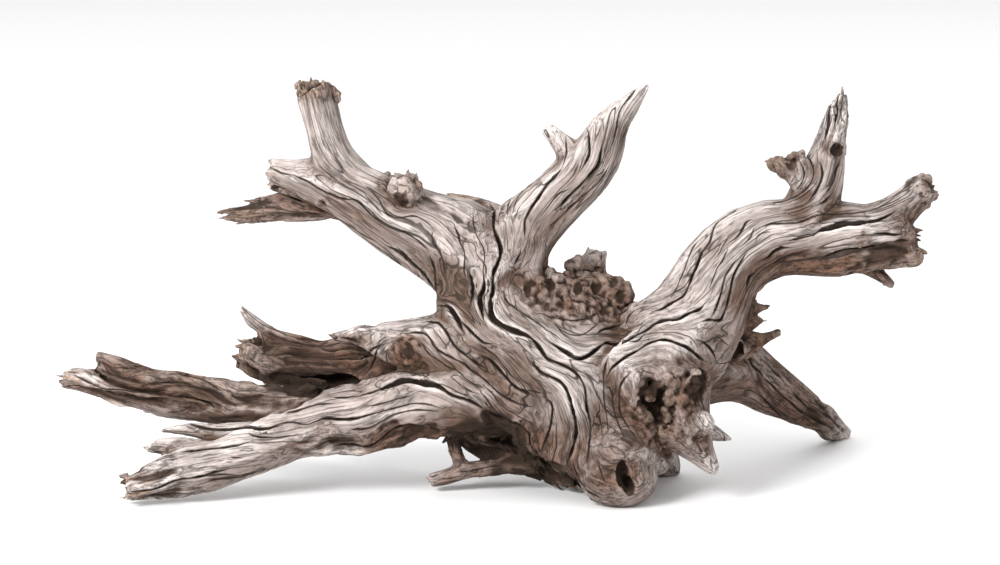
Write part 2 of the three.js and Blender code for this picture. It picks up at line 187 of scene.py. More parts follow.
# Open growth cracks as seen from the front viewing point: width, then the line's x and z, in millimetres
CRACKS = [
    (3, [(216, 400), (214, 384), (212, 370), (209, 360)]),
    (2.5, [(223, 404), (221, 388), (219, 372)]),
    (1.6, [(207, 388), (203, 374), (200, 362)]),
    (1.5, [(228, 382), (225, 370)]),
    (3.5, [
        (-124, 294), (-120, 288), (-122, 278), (-121, 268), (-116, 258), (-113, 248), (-117, 236),
        (-122, 226), (-121, 216), (-121, 208), (-125, 202), (-125, 192),
    ]),
    (5.5, [
        (-121, 208), (-125, 202), (-125, 192), (-123, 180), (-111, 172), (-99, 168), (-87, 164),
        (-80, 158),
    ]),
    (4, [(-87, 164), (-80, 158), (-74, 150), (-68, 140), (-55, 136)]),
    (2.5, [(-68, 140), (-55, 136), (-43, 130), (-33, 120), (-29, 108), (-29, 94), (-25, 80)]),
    (1.5, [(-29, 94), (-25, 80), (-24, 68), (-26, 54), (-27, 42), (-30, 36)]),
    (1.2, [(-142, 286), (-142, 276), (-137, 260), (-131, 252), (-130, 240), (-132, 228), (-131, 214)]),
    (5, [(-131, 222), (-131, 214), (-132, 208), (-136, 202), (-134, 190), (-131, 180)]),
    (1.5, [(-161, 274), (-156, 264), (-155, 256), (-150, 248), (-150, 240), (-151, 230), (-150, 222)]),
    (2.5, [(-147, 230), (-143, 220), (-142, 206), (-144, 194)]),
    (6, [(-176, 194), (-167, 194), (-159, 184), (-154, 172), (-151, 168)]),
    (3, [(-153, 178), (-146, 170), (-138, 162), (-131, 156), (-123, 156)]),
    (2, [(-71, 310), (-78, 300), (-87, 286), (-91, 278), (-90, 262)]),
    (1.5, [(-38, 310), (-45, 304), (-54, 292)]),
    (1.5, [(-34, 300), (-44, 294), (-52, 284), (-66, 272)]),
    (1.5, [(-94, 250), (-95, 244), (-102, 232)]),
    (1.2, [(-85, 240), (-92, 232)]),
    (1.2, [(-104, 300), (-107, 294), (-108, 286)]),
    (1.3, [(-112, 208), (-109, 198), (-98, 190), (-82, 180), (-66, 168), (-56, 162)]),
    (1, [(-76, 186), (-55, 180), (-41, 178), (-25, 182)]),
    (4.5, [(-66, 158), (-57, 152), (-46, 146), (-37, 140), (-26, 144), (-16, 152), (-8, 158)]),
    (2.5, [
        (-16, 152), (-8, 158), (-1, 154), (10, 158), (21, 164), (33, 170), (39, 176), (48, 180),
        (63, 180), (72, 186), (85, 190), (90, 196),
    ]),
    (2.5, [
        (-7, 124), (-5, 130), (4, 138), (12, 144), (25, 150), (32, 156), (43, 160), (53, 160),
        (63, 156), (73, 152), (82, 144), (90, 138),
    ]),
    (3, [
        (-84, 140), (-78, 130), (-70, 124), (-57, 120), (-49, 112), (-45, 100), (-42, 88), (-39, 78),
        (-39, 62), (-44, 46), (-48, 36),
    ]),
    (3, [(-133, 144), (-124, 138), (-117, 130), (-110, 122), (-100, 112), (-92, 108), (-81, 104)]),
    (1.4, [(-137, 156), (-129, 150), (-120, 144), (-113, 136), (-107, 128), (-100, 120)]),
    (2, [
        (-191, 178), (-180, 178), (-175, 176), (-169, 168), (-160, 152), (-149, 144), (-139, 136),
        (-130, 132),
    ]),
    (1.8, [
        (-208, 166), (-194, 168), (-185, 162), (-181, 152), (-172, 146), (-164, 142), (-151, 136),
        (-145, 130), (-133, 122), (-124, 114), (-116, 106), (-106, 100), (-98, 96), (-83, 92),
    ]),
    (1.2, [
        (-194, 158), (-188, 148), (-181, 142), (-174, 138), (-167, 132), (-158, 130), (-149, 120),
        (-134, 112),
    ]),
    (1.2, [(-153, 112), (-139, 106)]),
    (1.2, [(-135, 108), (-126, 98), (-120, 88), (-113, 82), (-107, 80)]),
    (1, [(-131, 114), (-122, 106), (-116, 96), (-109, 90), (-98, 84), (-87, 78), (-80, 74)]),
    (1.2, [(-90, 110), (-81, 108), (-71, 106)]),
    (2, [(-70, 102), (-65, 98), (-62, 92), (-63, 84), (-64, 74), (-69, 60), (-73, 50)]),
    (1, [(-58, 76), (-59, 68), (-58, 54), (-62, 42), (-63, 32)]),
    (1.4, [(-7, 142), (-11, 130), (-11, 114), (-11, 100), (-8, 82), (-7, 68)]),
    (1, [(-16, 98), (-15, 84), (-13, 70)]),
    (1.2, [(-2, 112), (-2, 94), (1, 82), (8, 64)]),
    (1.5, [(14, 126), (5, 116), (4, 102), (5, 86), (12, 74), (22, 60)]),
    (1.2, [(-41, 36), (-37, 22), (-28, 10)]),
    (1.2, [(-18, 40), (-14, 28), (-9, 14)]),
    (1, [(-55, 170), (-44, 164), (-33, 164), (-24, 170), (-17, 176)]),
    (2, [(-20, 164), (-13, 170), (-3, 172), (8, 176)]),
    (1.3, [(4, 178), (5, 186), (12, 190)]),
    (1.3, [(11, 174), (13, 184), (19, 188)]),
    (1, [(23, 166), (25, 172), (32, 176)]),
    (1.3, [(14, 158), (23, 158), (30, 166)]),
    (2.2, [(83, 160), (91, 156), (98, 148), (101, 140)]),
    (1, [(87, 172), (95, 170)]),
    (1.2, [(102, 164), (108, 158), (114, 154)]),
    (1.8, [
        (-321, 324), (-307, 318), (-292, 308), (-282, 304), (-273, 300), (-259, 300), (-251, 292),
        (-242, 282), (-230, 274), (-221, 270), (-209, 266), (-196, 258), (-187, 248),
    ]),
    (1, [(-295, 334), (-287, 326), (-275, 316), (-263, 310)]),
    (1, [(-282, 348), (-278, 338), (-268, 326)]),
    (1.2, [(-344, 332), (-333, 326), (-321, 324)]),
    (1.3, [(-234, 296), (-229, 286), (-217, 280), (-204, 284), (-194, 282), (-182, 272)]),
    (1, [(-251, 306), (-240, 294), (-234, 286)]),
    (1, [(-299, 292), (-285, 284), (-268, 276), (-251, 264), (-239, 258)]),
    (3, [(-229, 254), (-217, 248), (-205, 238), (-190, 224), (-181, 210), (-178, 204)]),
    (1.5, [(-186, 244), (-181, 232), (-179, 216), (-179, 202)]),
    (1.5, [(-183, 266), (-182, 256), (-172, 242), (-171, 228)]),
    (1.5, [(-217, 252), (-210, 244), (-199, 234), (-188, 224)]),
    (5, [(-346, 314), (-333, 310), (-320, 302), (-302, 296)]),
    (1.6, [(22, 412), (15, 402), (6, 392), (3, 382), (2, 374), (0, 364), (-2, 356), (-6, 348)]),
    (2.2, [(-27, 370), (-26, 358), (-25, 346), (-30, 336), (-34, 330)]),
    (2.4, [
        (-13, 356), (-14, 344), (-16, 334), (-22, 328), (-30, 318), (-38, 310), (-46, 304), (-53, 294),
        (-60, 290),
    ]),
    (3, [(-53, 330), (-61, 322), (-68, 316), (-73, 308), (-78, 300), (-84, 292), (-89, 284)]),
    (1.4, [(-7, 332), (-12, 322), (-21, 312), (-32, 304), (-40, 296), (-50, 286)]),
    (1.3, [(-49, 362), (-49, 356), (-48, 346), (-52, 334)]),
    (1, [(-31, 344), (-36, 328)]),
    (1.3, [(-47, 310), (-57, 306), (-63, 298), (-72, 286)]),
    (1.2, [(-12, 378), (-12, 370)]),
    (1, [(-82, 316), (-93, 308), (-99, 298), (-102, 288)]),
    (2, [(205, 338), (208, 326), (205, 316), (200, 306), (193, 298)]),
    (1.4, [(185, 338), (190, 326), (187, 316), (181, 310)]),
    (1.4, [(191, 346), (199, 334), (198, 318), (187, 306), (171, 298), (158, 296)]),
    (1.5, [(226, 340), (221, 330), (219, 318), (211, 306)]),
    (1.5, [(217, 306), (210, 298), (202, 294)]),
    (1, [(200, 314), (187, 302), (176, 298)]),
    (1.4, [
        (150, 272), (154, 276), (168, 276), (183, 276), (195, 282), (210, 286), (219, 284), (235, 286),
        (255, 288), (270, 294),
    ]),
    (1.6, [(172, 258), (187, 262), (199, 264), (205, 270)]),
    (5.5, [(199, 264), (205, 270), (217, 272), (228, 276), (242, 276), (258, 278)]),
    (3, [(242, 276), (258, 278), (265, 280), (277, 286), (281, 288)]),
    (2, [(205, 242), (219, 246), (228, 250), (240, 250), (254, 250), (277, 252)]),
    (2.2, [(254, 264), (261, 266), (272, 266), (281, 264), (288, 266)]),
    (2.5, [(145, 238), (154, 242), (159, 248), (168, 252), (175, 252)]),
    (1.2, [(150, 232), (163, 238), (170, 244), (185, 246)]),
    (1.6, [(123, 290), (115, 286), (106, 280), (100, 274), (97, 266), (95, 258), (91, 252), (86, 246)]),
    (2.5, [
        (91, 252), (86, 246), (82, 234), (78, 226), (73, 212), (69, 204), (63, 200), (55, 196),
        (46, 190), (39, 188),
    ]),
    (1.2, [(83, 258), (77, 250), (73, 240), (69, 228), (65, 220), (61, 208), (56, 202)]),
    (1.8, [(137, 280), (131, 278), (127, 270), (122, 262), (116, 258)]),
    (1.2, [(143, 272), (138, 270), (137, 264), (132, 258), (125, 252)]),
    (1.2, [(154, 268), (144, 266), (140, 258)]),
    (1.3, [(113, 250), (107, 238), (101, 230), (95, 212)]),
    (1, [(114, 264), (110, 256), (103, 246)]),
    (2.2, [
        (131, 246), (126, 238), (122, 230), (119, 224), (117, 218), (115, 206), (112, 194), (109, 186),
        (106, 178), (97, 180), (86, 178),
    ]),
    (1.8, [
        (121, 240), (116, 232), (110, 224), (108, 214), (107, 208), (104, 198), (100, 188), (96, 182),
    ]),
    (3, [(142, 228), (135, 224), (133, 218), (131, 210)]),
    (2, [(-292, 144), (-271, 142), (-255, 140), (-250, 144), (-241, 152), (-229, 156)]),
    (2, [(-237, 152), (-240, 142), (-244, 132), (-250, 126)]),
    (1.2, [(-223, 126), (-209, 128), (-188, 122)]),
    (4, [(-276, 162), (-265, 160), (-255, 156)]),
    (1.5, [(-283, 102), (-262, 102), (-240, 108), (-224, 114)]),
    (5.5, [(-240, 108), (-224, 114), (-210, 120), (-192, 116), (-176, 114), (-164, 104)]),
    (3, [(-176, 114), (-164, 104), (-148, 100), (-136, 94), (-130, 90)]),
    (2.5, [
        (-130, 90), (-122, 82), (-110, 76), (-100, 76), (-92, 70), (-85, 66), (-85, 56), (-80, 48),
        (-75, 42), (-69, 34), (-57, 26), (-42, 18), (-30, 8), (-15, 2),
    ]),
    (13, [
        (-523, 136), (-517, 128), (-502, 116), (-483, 110), (-462, 108), (-439, 104), (-418, 100),
        (-404, 92),
    ]),
    (1.5, [(-496, 132), (-477, 130), (-454, 128), (-433, 126), (-418, 120), (-399, 112), (-393, 108)]),
    (1.5, [(-539, 124), (-517, 112), (-492, 108), (-471, 106), (-448, 104)]),
    (3, [(-426, 76), (-407, 70), (-383, 70), (-368, 74), (-355, 70), (-335, 74)]),
    (2, [(-484, 8), (-462, 10), (-448, 16), (-436, 20), (-418, 22), (-404, 26), (-389, 30)]),
    (1.3, [(-408, 24), (-389, 26), (-374, 24), (-360, 28), (-345, 32)]),
    (1.8, [(-432, 48), (-412, 50), (-392, 52), (-377, 54), (-364, 58)]),
    (1.5, [(-386, 42), (-374, 42)]),
    (1.5, [(-366, 66), (-357, 62), (-335, 62)]),
    (1.5, [(-365, 74), (-350, 70), (-336, 76), (-323, 78), (-309, 74), (-299, 78), (-289, 82)]),
    (3, [(-299, 78), (-289, 82), (-277, 80), (-262, 80), (-248, 84)]),
    (1.5, [(-262, 80), (-248, 84), (-233, 88), (-218, 92), (-204, 96), (-189, 96), (-176, 92)]),
    (1.5, [(-265, 70), (-248, 72), (-236, 76), (-224, 84), (-210, 88), (-196, 90), (-176, 88)]),
    (2.2, [(-279, 52), (-259, 52), (-243, 56), (-230, 62), (-217, 70), (-201, 74)]),
    (1.5, [(-330, 86), (-314, 90), (-295, 96), (-283, 96)]),
    (1.2, [(-248, 92), (-226, 98), (-204, 104)]),
    (1.5, [(-365, 64), (-350, 62), (-336, 62), (-323, 64)]),
    (1.3, [(-155, 28), (-143, 28), (-131, 32), (-115, 34)]),
    (1.8, [(148, 122), (158, 114), (166, 104), (175, 98), (185, 88), (193, 84), (202, 78), (216, 72)]),
    (1.8, [(177, 108), (187, 98), (194, 90), (198, 86)]),
    (1.5, [(153, 134), (163, 124), (169, 118)]),
    (2, [(145, 106), (152, 96), (163, 86), (170, 80)]),
    (1, [(193, 100), (202, 94), (207, 94)]),
    (1, [(101, 136), (109, 136), (119, 140), (124, 134)]),
    (2.5, [(137, 142), (138, 134), (146, 128), (148, 122)]),
]

# Small round growths on the burls, knots and broken crowns, seen from the front: x, z and radius
NODULES = {
    "burl": [
        (-77, 216, 9), (-70, 208, 9), (-63, 220, 9), (-74, 200, 8), (-65, 200, 7), (-59, 208, 7),
        (-82, 208, 6), (-55, 218, 7), (-66, 224, 7), (-52, 208, 5), (-49, 200, 5), (-42, 194, 5),
        (-34, 188, 5), (-25, 186, 5), (-17, 188, 5), (-12, 198, 5), (-11, 208, 5), (-14, 218, 5),
        (-21, 224, 5), (-30, 228, 5), (-40, 226, 6), (-49, 222, 6), (-47, 214, 4), (-41, 210, 4),
        (-40, 216, 4), (-29, 218, 4), (-25, 214, 4), (-29, 208, 5), (-23, 206, 4), (-27, 200, 4),
        (-32, 198, 4), (-23, 196, 4), (-6, 220, 6), (0, 216, 7), (7, 214, 6), (11, 206, 6),
        (-2, 206, 5), (5, 200, 6), (1, 196, 6), (-8, 210, 5), (13, 200, 5), (-59, 196, 7),
        (-51, 192, 5), (-44, 234, 5), (-38, 238, 6), (-31, 240, 6), (-25, 238, 6), (-19, 236, 5),
        (-34, 232, 5), (-25, 232, 5),
    ],
    "big_knot": [
        (25, 128, 4), (28, 120, 4), (30, 112, 4), (34, 104, 4), (35, 126, 4), (42, 122, 4),
        (40, 110, 4), (21, 102, 4), (18, 96, 4), (25, 90, 4), (31, 84, 4), (37, 78, 5), (43, 72, 5),
        (49, 76, 4), (52, 82, 4), (55, 90, 4), (53, 100, 4), (57, 108, 5), (59, 116, 6), (54, 122, 4),
        (49, 132, 4), (57, 132, 5), (63, 128, 5), (69, 132, 5), (75, 134, 5), (82, 134, 4),
        (88, 130, 4), (91, 122, 4), (92, 112, 4), (87, 104, 5), (82, 106, 4), (75, 98, 4),
        (69, 102, 4), (64, 94, 4), (68, 86, 4), (69, 78, 4), (73, 70, 4), (79, 66, 4), (75, 58, 4),
        (85, 62, 4), (89, 54, 4), (93, 46, 3),
    ],
    "foot_knot": [(-14, 34, 7), (22, 34, 8), (20, 16, 7), (-4, 12, 6)],
    "inner_knot": [
        (26, 125, 5), (28, 117, 5), (31, 109, 5), (35, 102, 4), (36, 123, 4), (41, 115, 4),
        (39, 107, 4), (57, 108, 6), (59, 118, 6), (55, 99, 5), (53, 126, 5), (75, 117, 5),
        (81, 126, 5), (87, 115, 5), (79, 107, 5), (51, 91, 4), (53, 83, 4), (70, 100, 5), (66, 92, 5),
    ],
    "round_knot": [
        (-215, 154, 4), (-208, 158, 4), (-200, 156, 4), (-196, 150, 4), (-198, 142, 4), (-206, 138, 4),
        (-214, 142, 4), (-217, 148, 3), (-207, 148, 5), (-203, 146, 4),
    ],
    "nub": [
        (-211, 318, 4), (-206, 322, 4), (-201, 320, 4), (-198, 314, 4), (-204, 312, 4), (-210, 310, 4),
        (-196, 310, 3), (-207, 302, 4), (-214, 300, 4), (-231, 318, 4), (-227, 324, 4), (-222, 320, 4),
        (-221, 314, 4), (-225, 310, 4), (-232, 312, 4),
    ],
    "stump_crown": [
        (-317, 414, 4), (-312, 416, 4), (-306, 414, 4), (-300, 416, 4), (-294, 414, 4), (-288, 414, 4),
        (-282, 410, 4), (-277, 406, 4), (-277, 400, 4), (-315, 406, 4), (-309, 408, 4), (-297, 406, 4),
        (-290, 406, 4),
    ],
    "right_prong": [
        (301, 318, 5), (307, 322, 4), (313, 318, 4), (315, 312, 4), (311, 306, 4), (304, 310, 4),
        (298, 312, 4), (295, 316, 4), (307, 314, 4), (314, 304, 4),
    ],
    "right_nubs": [
        (157, 336, 4), (162, 338, 4), (168, 338, 4), (174, 340, 4), (164, 332, 4), (182, 344, 4),
        (187, 346, 3), (185, 340, 3), (213, 352, 3), (216, 358, 3), (222, 356, 3), (226, 352, 3),
        (225, 346, 3), (219, 344, 3), (214, 348, 3),
    ],
    "right_end": [
        (243, 262, 3), (248, 266, 3), (253, 262, 3), (251, 256, 3), (245, 254, 3), (280, 284, 3),
        (284, 286, 3), (288, 282, 3), (286, 276, 3), (281, 278, 3), (288, 268, 4), (291, 274, 4),
    ],
    "slab_knot": [(-293, 72, 4), (-287, 74, 4), (-281, 70, 4), (-282, 64, 4), (-289, 62, 4)],
}

# How far back the growths stand where they rise past the wood behind them or fill a hollow: y in millimetres
NODULE_DEPTH = {
    "stump_crown": 84, "right_prong": 44, "right_nubs": 56, "nub": 46, "burl": 66, "inner_knot": -8,
}

# How far into the wood the growths are sunk, as a share of their radius
SUNK = {"big_knot": 0.1, "inner_knot": 0.2, "foot_knot": 0.6, "round_knot": 0.1, "burl": 0.45, "nub": 0.3}

# Wood that fills the narrow gaps between limbs: middle and half sizes in millimetres
FILLINGS = [
    ((-314, 66, 105), (28, 16, 10)), ((-26, 26, 40), (22, 20, 24)), ((2, 16, 62), (46, 40, 44)),
    ((-20, 12, 50), (26, 26, 26)), ((40, 26, 44), (18, 20, 20)), ((-88, 56, 196), (10, 14, 14)),
]

# Hollows where the wood has rotted or fallen out: middle and half sizes in millimetres
ROTTEN = [
    ((-122, 60, 66), (46, 70, 34)), ((-72, 46, 22), (52, 46, 24)), ((36, -2, 108), (14, 34, 26)),
    ((80, 0, 122), (11, 34, 14)), ((-65, 46, 217), (6, 30, 5)), ((-38, 44, 212), (5, 30, 6)),
    ((-19, 42, 214), (5, 30, 6)), ((-3, 44, 217), (6, 30, 5)), ((5, 42, 202), (5, 30, 6)),
    ((-9, 40, 192), (6, 30, 4)), ((-58, 44, 200), (5, 30, 4)), ((-206, 40, 149), (6, 24, 5)),
    ((5, -16, 38), (5, 20, 13)), ((12, -16, 24), (6, 20, 8)), ((-88, 46, 212), (6, 30, 16)),
    ((-60, 150, 176), (28, 36, 42)), ((-312, 66, 112), (52, 30, 14)), ((219, 44, 351), (7, 12, 7)),
    ((-213, 36, 303), (9, 12, 8)), ((174, 44, 336), (5, 8, 5)),
]

# Wood that has stayed brown, out of the sun: middle and half sizes in millimetres
BROWN = [
    ((-300, 95, 122), (120, 70, 48)), ((-430, 46, 108), (130, 40, 18)), ((-205, 26, 60), (50, 40, 26)),
    ((190, 190, 70), (110, 120, 90)), ((-350, 96, 284), (95, 40, 22)), ((-36, 62, 206), (74, 60, 38)),
    ((240, 60, 232), (90, 70, 24)), ((306, 48, 262), (34, 40, 44)), ((-146, 116, 284), (42, 34, 24)),
    ((-100, 60, 50), (90, 90, 60)), ((135, 74, 172), (42, 40, 50)), ((-486, 50, 132), (46, 30, 20)),
    ((46, 0, 104), (44, 46, 48)), ((-206, 46, 148), (26, 24, 21)), ((-207, 42, 317), (17, 18, 13)),
    ((-300, 84, 408), (30, 28, 14)), ((164, 50, 338), (24, 20, 14)), ((310, 42, 316), (18, 20, 18)),
    ((0, -10, 34), (34, 26, 30)),
]

# Wood that broke later than the rest, still the colour of straw: middle and half sizes in millimetres
BROKEN = [
    ((-160, 124, 288), (22, 22, 18)), ((-556, 44, 120), (26, 26, 20)), ((-484, -2, 20), (28, 26, 22)),
    ((-376, 110, 130), (20, 30, 24)), ((316, 46, 262), (20, 34, 40)), ((-400, 100, 280), (50, 20, 18)),
    ((228, 60, 398), (12, 14, 22)), ((-345, 96, 322), (14, 18, 16)), ((-300, 84, 408), (26, 24, 10)),
]

# Grain that has swollen and curled into small warts round a burl or a knot: middle and half sizes
WARTY = [
    ((-38, 52, 206), (66, 60, 34)), ((-206, 46, 148), (20, 22, 17)), ((306, 44, 312), (18, 24, 18)),
    ((-205, 40, 318), (16, 18, 16)), ((170, 50, 340), (24, 18, 16)), ((40, 10, 104), (40, 34, 52)),
]

# Wood painted palest, partly whitened by the sun and partly painted as lit where the light falls full on it:
# middle and half sizes in millimetres
PALE_AND_LIT = [
    ((-104, 0, 228), (76, 60, 80)), ((-240, 60, 322), (150, 60, 40)), ((-30, 10, 140), (90, 60, 80)),
    ((88, -10, 86), (22, 20, 14)), ((-52, 24, 356), (40, 40, 60)), ((-180, 40, 150), (60, 40, 30)),
    ((-130, 10, 112), (60, 40, 30)),
]

# Wood that has split into steps and flakes along the grain: middle and half sizes in millimetres
FLAKY = [
    ((-310, 95, 126), (105, 60, 50)), ((-440, 46, 110), (140, 44, 26)),
    ((-350, 96, 284), (90, 36, 26)), ((-520, 56, 132), (50, 30, 26)), ((-470, 10, 30), (60, 40, 36)),
    ((-260, 66, 156), (44, 40, 20)), ((280, 54, 244), (60, 50, 22)), ((218, 58, 384), (24, 30, 40)),
    ((150, 76, 172), (40, 36, 46)), ((230, 230, 34), (60, 70, 40)), ((-240, 34, 64), (90, 50, 22)),
]

# Torn fibres: middle and half sizes of the place, how many, their length and thickness, and an extra pull
TORN = [
    ((-301, 84, 404), (27, 25, 14), 14, 8, 6.5, (0, 0, 0.5)),
    ((-380, 100, 282), (48, 18, 16), 23, 12.15, 4.5, (-0.4, 0, 0)),
    ((-352, 96, 322), (14, 18, 16), 10, 7.29, 5.1, (-0.3, 0, 0)),
    ((-205, 42, 318), (20, 16, 12), 13, 5.67, 6.1, (0, -0.2, 0.5)),
    ((-545, 46, 116), (30, 22, 18), 13, 12.15, 6.1, (-0.4, 0, 0)),
    ((-519, 56, 139), (18, 14, 14), 8, 7.29, 5.7, (-0.3, 0, 0.2)),
    ((-484, -2, 20), (22, 26, 20), 14, 10.53, 6.1, (-0.5, 0, 0)),
    ((-466, 20, 56), (14, 14, 12), 6, 8.91, 5.1, (-0.4, 0, 0)),
    ((-376, 108, 134), (24, 30, 26), 20, 13.77, 7.0, (-0.4, 0, 0.1)),
    ((-276, 70, 157), (20, 16, 12), 8, 8.1, 5.7, (-0.3, 0, 0.2)),
    ((-112, 56, 56), (58, 64, 46), 210, 12, 4.6, (0.1, -0.2, -0.35)),
    ((-62, 36, 16), (62, 54, 22), 170, 11, 4.6, (0.1, -0.2, -0.35)),
    ((-164, 128, 290), (18, 18, 12), 10, 6.48, 5.1, (-0.3, 0.2, 0)),
    ((-16, 98, 236), (16, 16, 14), 13, 8.91, 6.5, (0, 0, 0.5)),
    ((222, 60, 394), (12, 12, 22), 8, 13.5, 6.5, (0, 0, 0.8)),
    ((218, 56, 372), (18, 22, 24), 15, 23.4, 7.0, (0, 0, 1.2)),
    ((160, 50, 336), (14, 14, 12), 10, 5.67, 5.7, (-0.4, 0, 0)),
    ((184, 52, 339), (12, 12, 10), 6, 4.86, 5.7, (0, 0, 0.4)),
    ((304, 48, 258), (20, 34, 28), 14, 12, 6.5, (0.5, 0, 0)),
    ((308, 42, 314), (16, 18, 16), 14, 4.86, 6.5, (0.2, 0, 0.4)),
    ((278, 60, 212), (10, 10, 10), 6, 6.48, 4.5, (0.2, 0, -0.5)),
    ((172, 58, 222), (34, 34, 12), 23, 8.91, 5.1, (0.2, -0.2, -0.6)),
    ((150, 75, 172), (24, 18, 36), 23, 9.72, 5.7, (0.6, -0.2, -0.1)),
    ((260, 290, 8), (22, 22, 16), 10, 8.91, 6.1, (0.3, 0.2, -0.1)),
    ((200, 206, 44), (12, 12, 12), 6, 7.29, 5.1, (0.3, 0.2, -0.3)),
    ((-66, 40, 374), (12, 12, 10), 6, 4.86, 5.1, (-0.2, 0, 0.4)),
    ((-184, 54, 14), (12, 12, 10), 7, 6.48, 4.5, (-0.5, 0, 0)),
    ((98, 2, 34), (9, 9, 12), 5, 6.48, 4.5, (0.3, 0, -0.4)),
    ((40, -8, 104), (22, 24, 36), 35, 5.67, 7.0, (0, -0.6, 0)),
    ((-60, 150, 176), (28, 36, 42), 27, 8.1, 6.1, (0, 0.5, 0)),
]


# ---------------------------------------------------------------- arrays


def read_points(mesh):
    points = np.empty(len(mesh.vertices) * 3, np.float32)
    mesh.vertices.foreach_get("co", points)
    return points.reshape(-1, 3).astype(float)


def read_normals(mesh):
    normals = np.empty(len(mesh.vertices) * 3, np.float32)
    mesh.vertex_normals.foreach_get("vector", normals)
    return normals.reshape(-1, 3).astype(float)


def read_edges(mesh):
    edges = np.empty(len(mesh.edges) * 2, np.int32)
    mesh.edges.foreach_get("vertices", edges)
    return edges.reshape(-1, 2)


def write_points(mesh, points):
    mesh.vertices.foreach_set("co", points.astype(np.float32).ravel())
    mesh.update()


def write_vectors(mesh, name, values):
    attribute = mesh.attributes.get(name) or mesh.attributes.new(name, "FLOAT_VECTOR", "POINT")
    attribute.data.foreach_set("vector", values.astype(np.float32).ravel())


def read_vectors(mesh, name):
    values = np.empty(len(mesh.vertices) * 3, np.float32)
    mesh.attributes[name].data.foreach_get("vector", values)
    return values.reshape(-1, 3).astype(float)


def unit(vectors):
    """The same ways, each one unit long."""
    return vectors / np.maximum(np.linalg.norm(vectors, axis=-1, keepdims=True), 1e-9)


def ease(low, high, values):
    """0 below low, 1 above high and a smooth rise between them."""
    t = np.clip((values - low) / (high - low), 0, 1)
    return t * t * (3 - 2 * t)


GRADIENTS = unit(np.random.default_rng(11).normal(size=(256, 3)))
SHUFFLE = np.random.default_rng(12).permutation(256)


def ripple(points, seed=0):
    """Smooth noise between about -1 and 1, with lumps one unit wide."""
    cell = np.floor(points).astype(np.int64)
    inside = points - cell
    fade = inside**3 * (inside * (inside * 6 - 15) + 10)
    total = np.zeros(len(points))
    for corner in itertools.product((0, 1), repeat=3):
        at = (cell + corner + seed * 37) & 255
        pick = SHUFFLE[(SHUFFLE[(SHUFFLE[at[:, 0]] + at[:, 1]) & 255] + at[:, 2]) & 255]
        share = np.where(np.array(corner), fade, 1 - fade).prod(1)
        total += share * (GRADIENTS[pick] * (inside - corner)).sum(1)
    return total * 1.6


def warts(points, seed=0):
    """Rounded bumps one unit apart: 1 on top of a bump and 0 between two."""
    cell = np.floor(points).astype(np.int64)
    nearest = np.full(len(points), 9.0)
    for step in itertools.product((-1, 0, 1), repeat=3):
        at = (cell + step + seed * 37) & 255
        pick = SHUFFLE[(SHUFFLE[(SHUFFLE[at[:, 0]] + at[:, 1]) & 255] + at[:, 2]) & 255]
        middle = cell + step + 0.5 + GRADIENTS[pick] * 0.42
        nearest = np.minimum(nearest, ((points - middle) ** 2).sum(1))
    return np.clip(1 - nearest * 1.7, 0, 1)


def inside_of(regions, points, edge, soft=0.25):
    """1 inside any of the regions and 0 outside, with a ragged edge."""
    ragged = edge * (ripple(points / 22) + 0.5 * ripple(points / 9, 3))
    found = np.zeros(len(points))
    for middle, half in regions:
        reach = np.linalg.norm((points - middle) / half, axis=1) + ragged
        found = np.maximum(found, ease(1 + soft, 1 - soft, reach))
    return found


# ---------------------------------------------------------------- the run of the grain


def limb_samples():
    """Points along every limb's middle line, with the way it grows, its radius and each point's share."""
    centres, ways, radii, shares = [], [], [], []
    for stations in LIMBS.values():
        for start, end in zip(stations, stations[1:]):
            start, end = np.array(start, float), np.array(end, float)
            length = np.linalg.norm(end[:3] - start[:3])
            count = max(2, int(length / 6))
            for t in (np.arange(count) + 0.5) / count:
                here = start + (end - start) * t
                centres.append(here[:3])
                ways.append((end[:3] - start[:3]) / length)
                radii.append(here[3])
                shares.append(length / count / here[3])
    return np.array(centres), np.array(ways), np.array(radii), np.array(shares)


def view_axes():
    """The front viewing point's place, and its rightward and upward ways."""
    back = Vector((0, -math.cos(VIEW_PITCH), math.sin(VIEW_PITCH)))
    up = Vector((0, math.sin(VIEW_PITCH), math.cos(VIEW_PITCH)))
    return VIEW_TARGET + back * VIEW_DISTANCE, Vector((1, 0, 0)), up


def seen_from_front(points):
    """Where points in millimetres appear in the front view: x and z in millimetres."""
    eye, right, up = (np.array(v) for v in view_axes())
    target = np.array(VIEW_TARGET)
    forward = unit(target - eye)
    ray = points * MM - eye
    ray = ray * (VIEW_DISTANCE / (ray @ forward))[:, None] + eye - target
    return np.stack((ray @ right + target[0], ray @ up + target[2]), 1) / MM


def rounded(line):
    """A crack's line with its corners rounded off."""
    line = np.array(line, float)
    for _ in range(2):
        if len(line) > 2:
            quarter = line[:-1] * 0.75 + line[1:] * 0.25
            three = line[:-1] * 0.25 + line[1:] * 0.75
            inner = np.stack((quarter, three), 1).reshape(-1, 2)[1:-1]
            line = np.vstack((line[:1], inner, line[-1:]))
    return line


def crack_layers():
    """Sorts the cracks into three layers, so that neighbours are in different ones."""
    lines = [rounded(line) for _, line in CRACKS]
    layers = [[], [], []]
    for crack, line in enumerate(lines):
        room = []
        for layer in layers:
            gaps = [np.linalg.norm(line[:, None] - lines[k][None], axis=2).min() for k in layer]
            room.append(min(gaps, default=1e9))
        layers[int(np.argmax(room))].append(crack)
    return layers


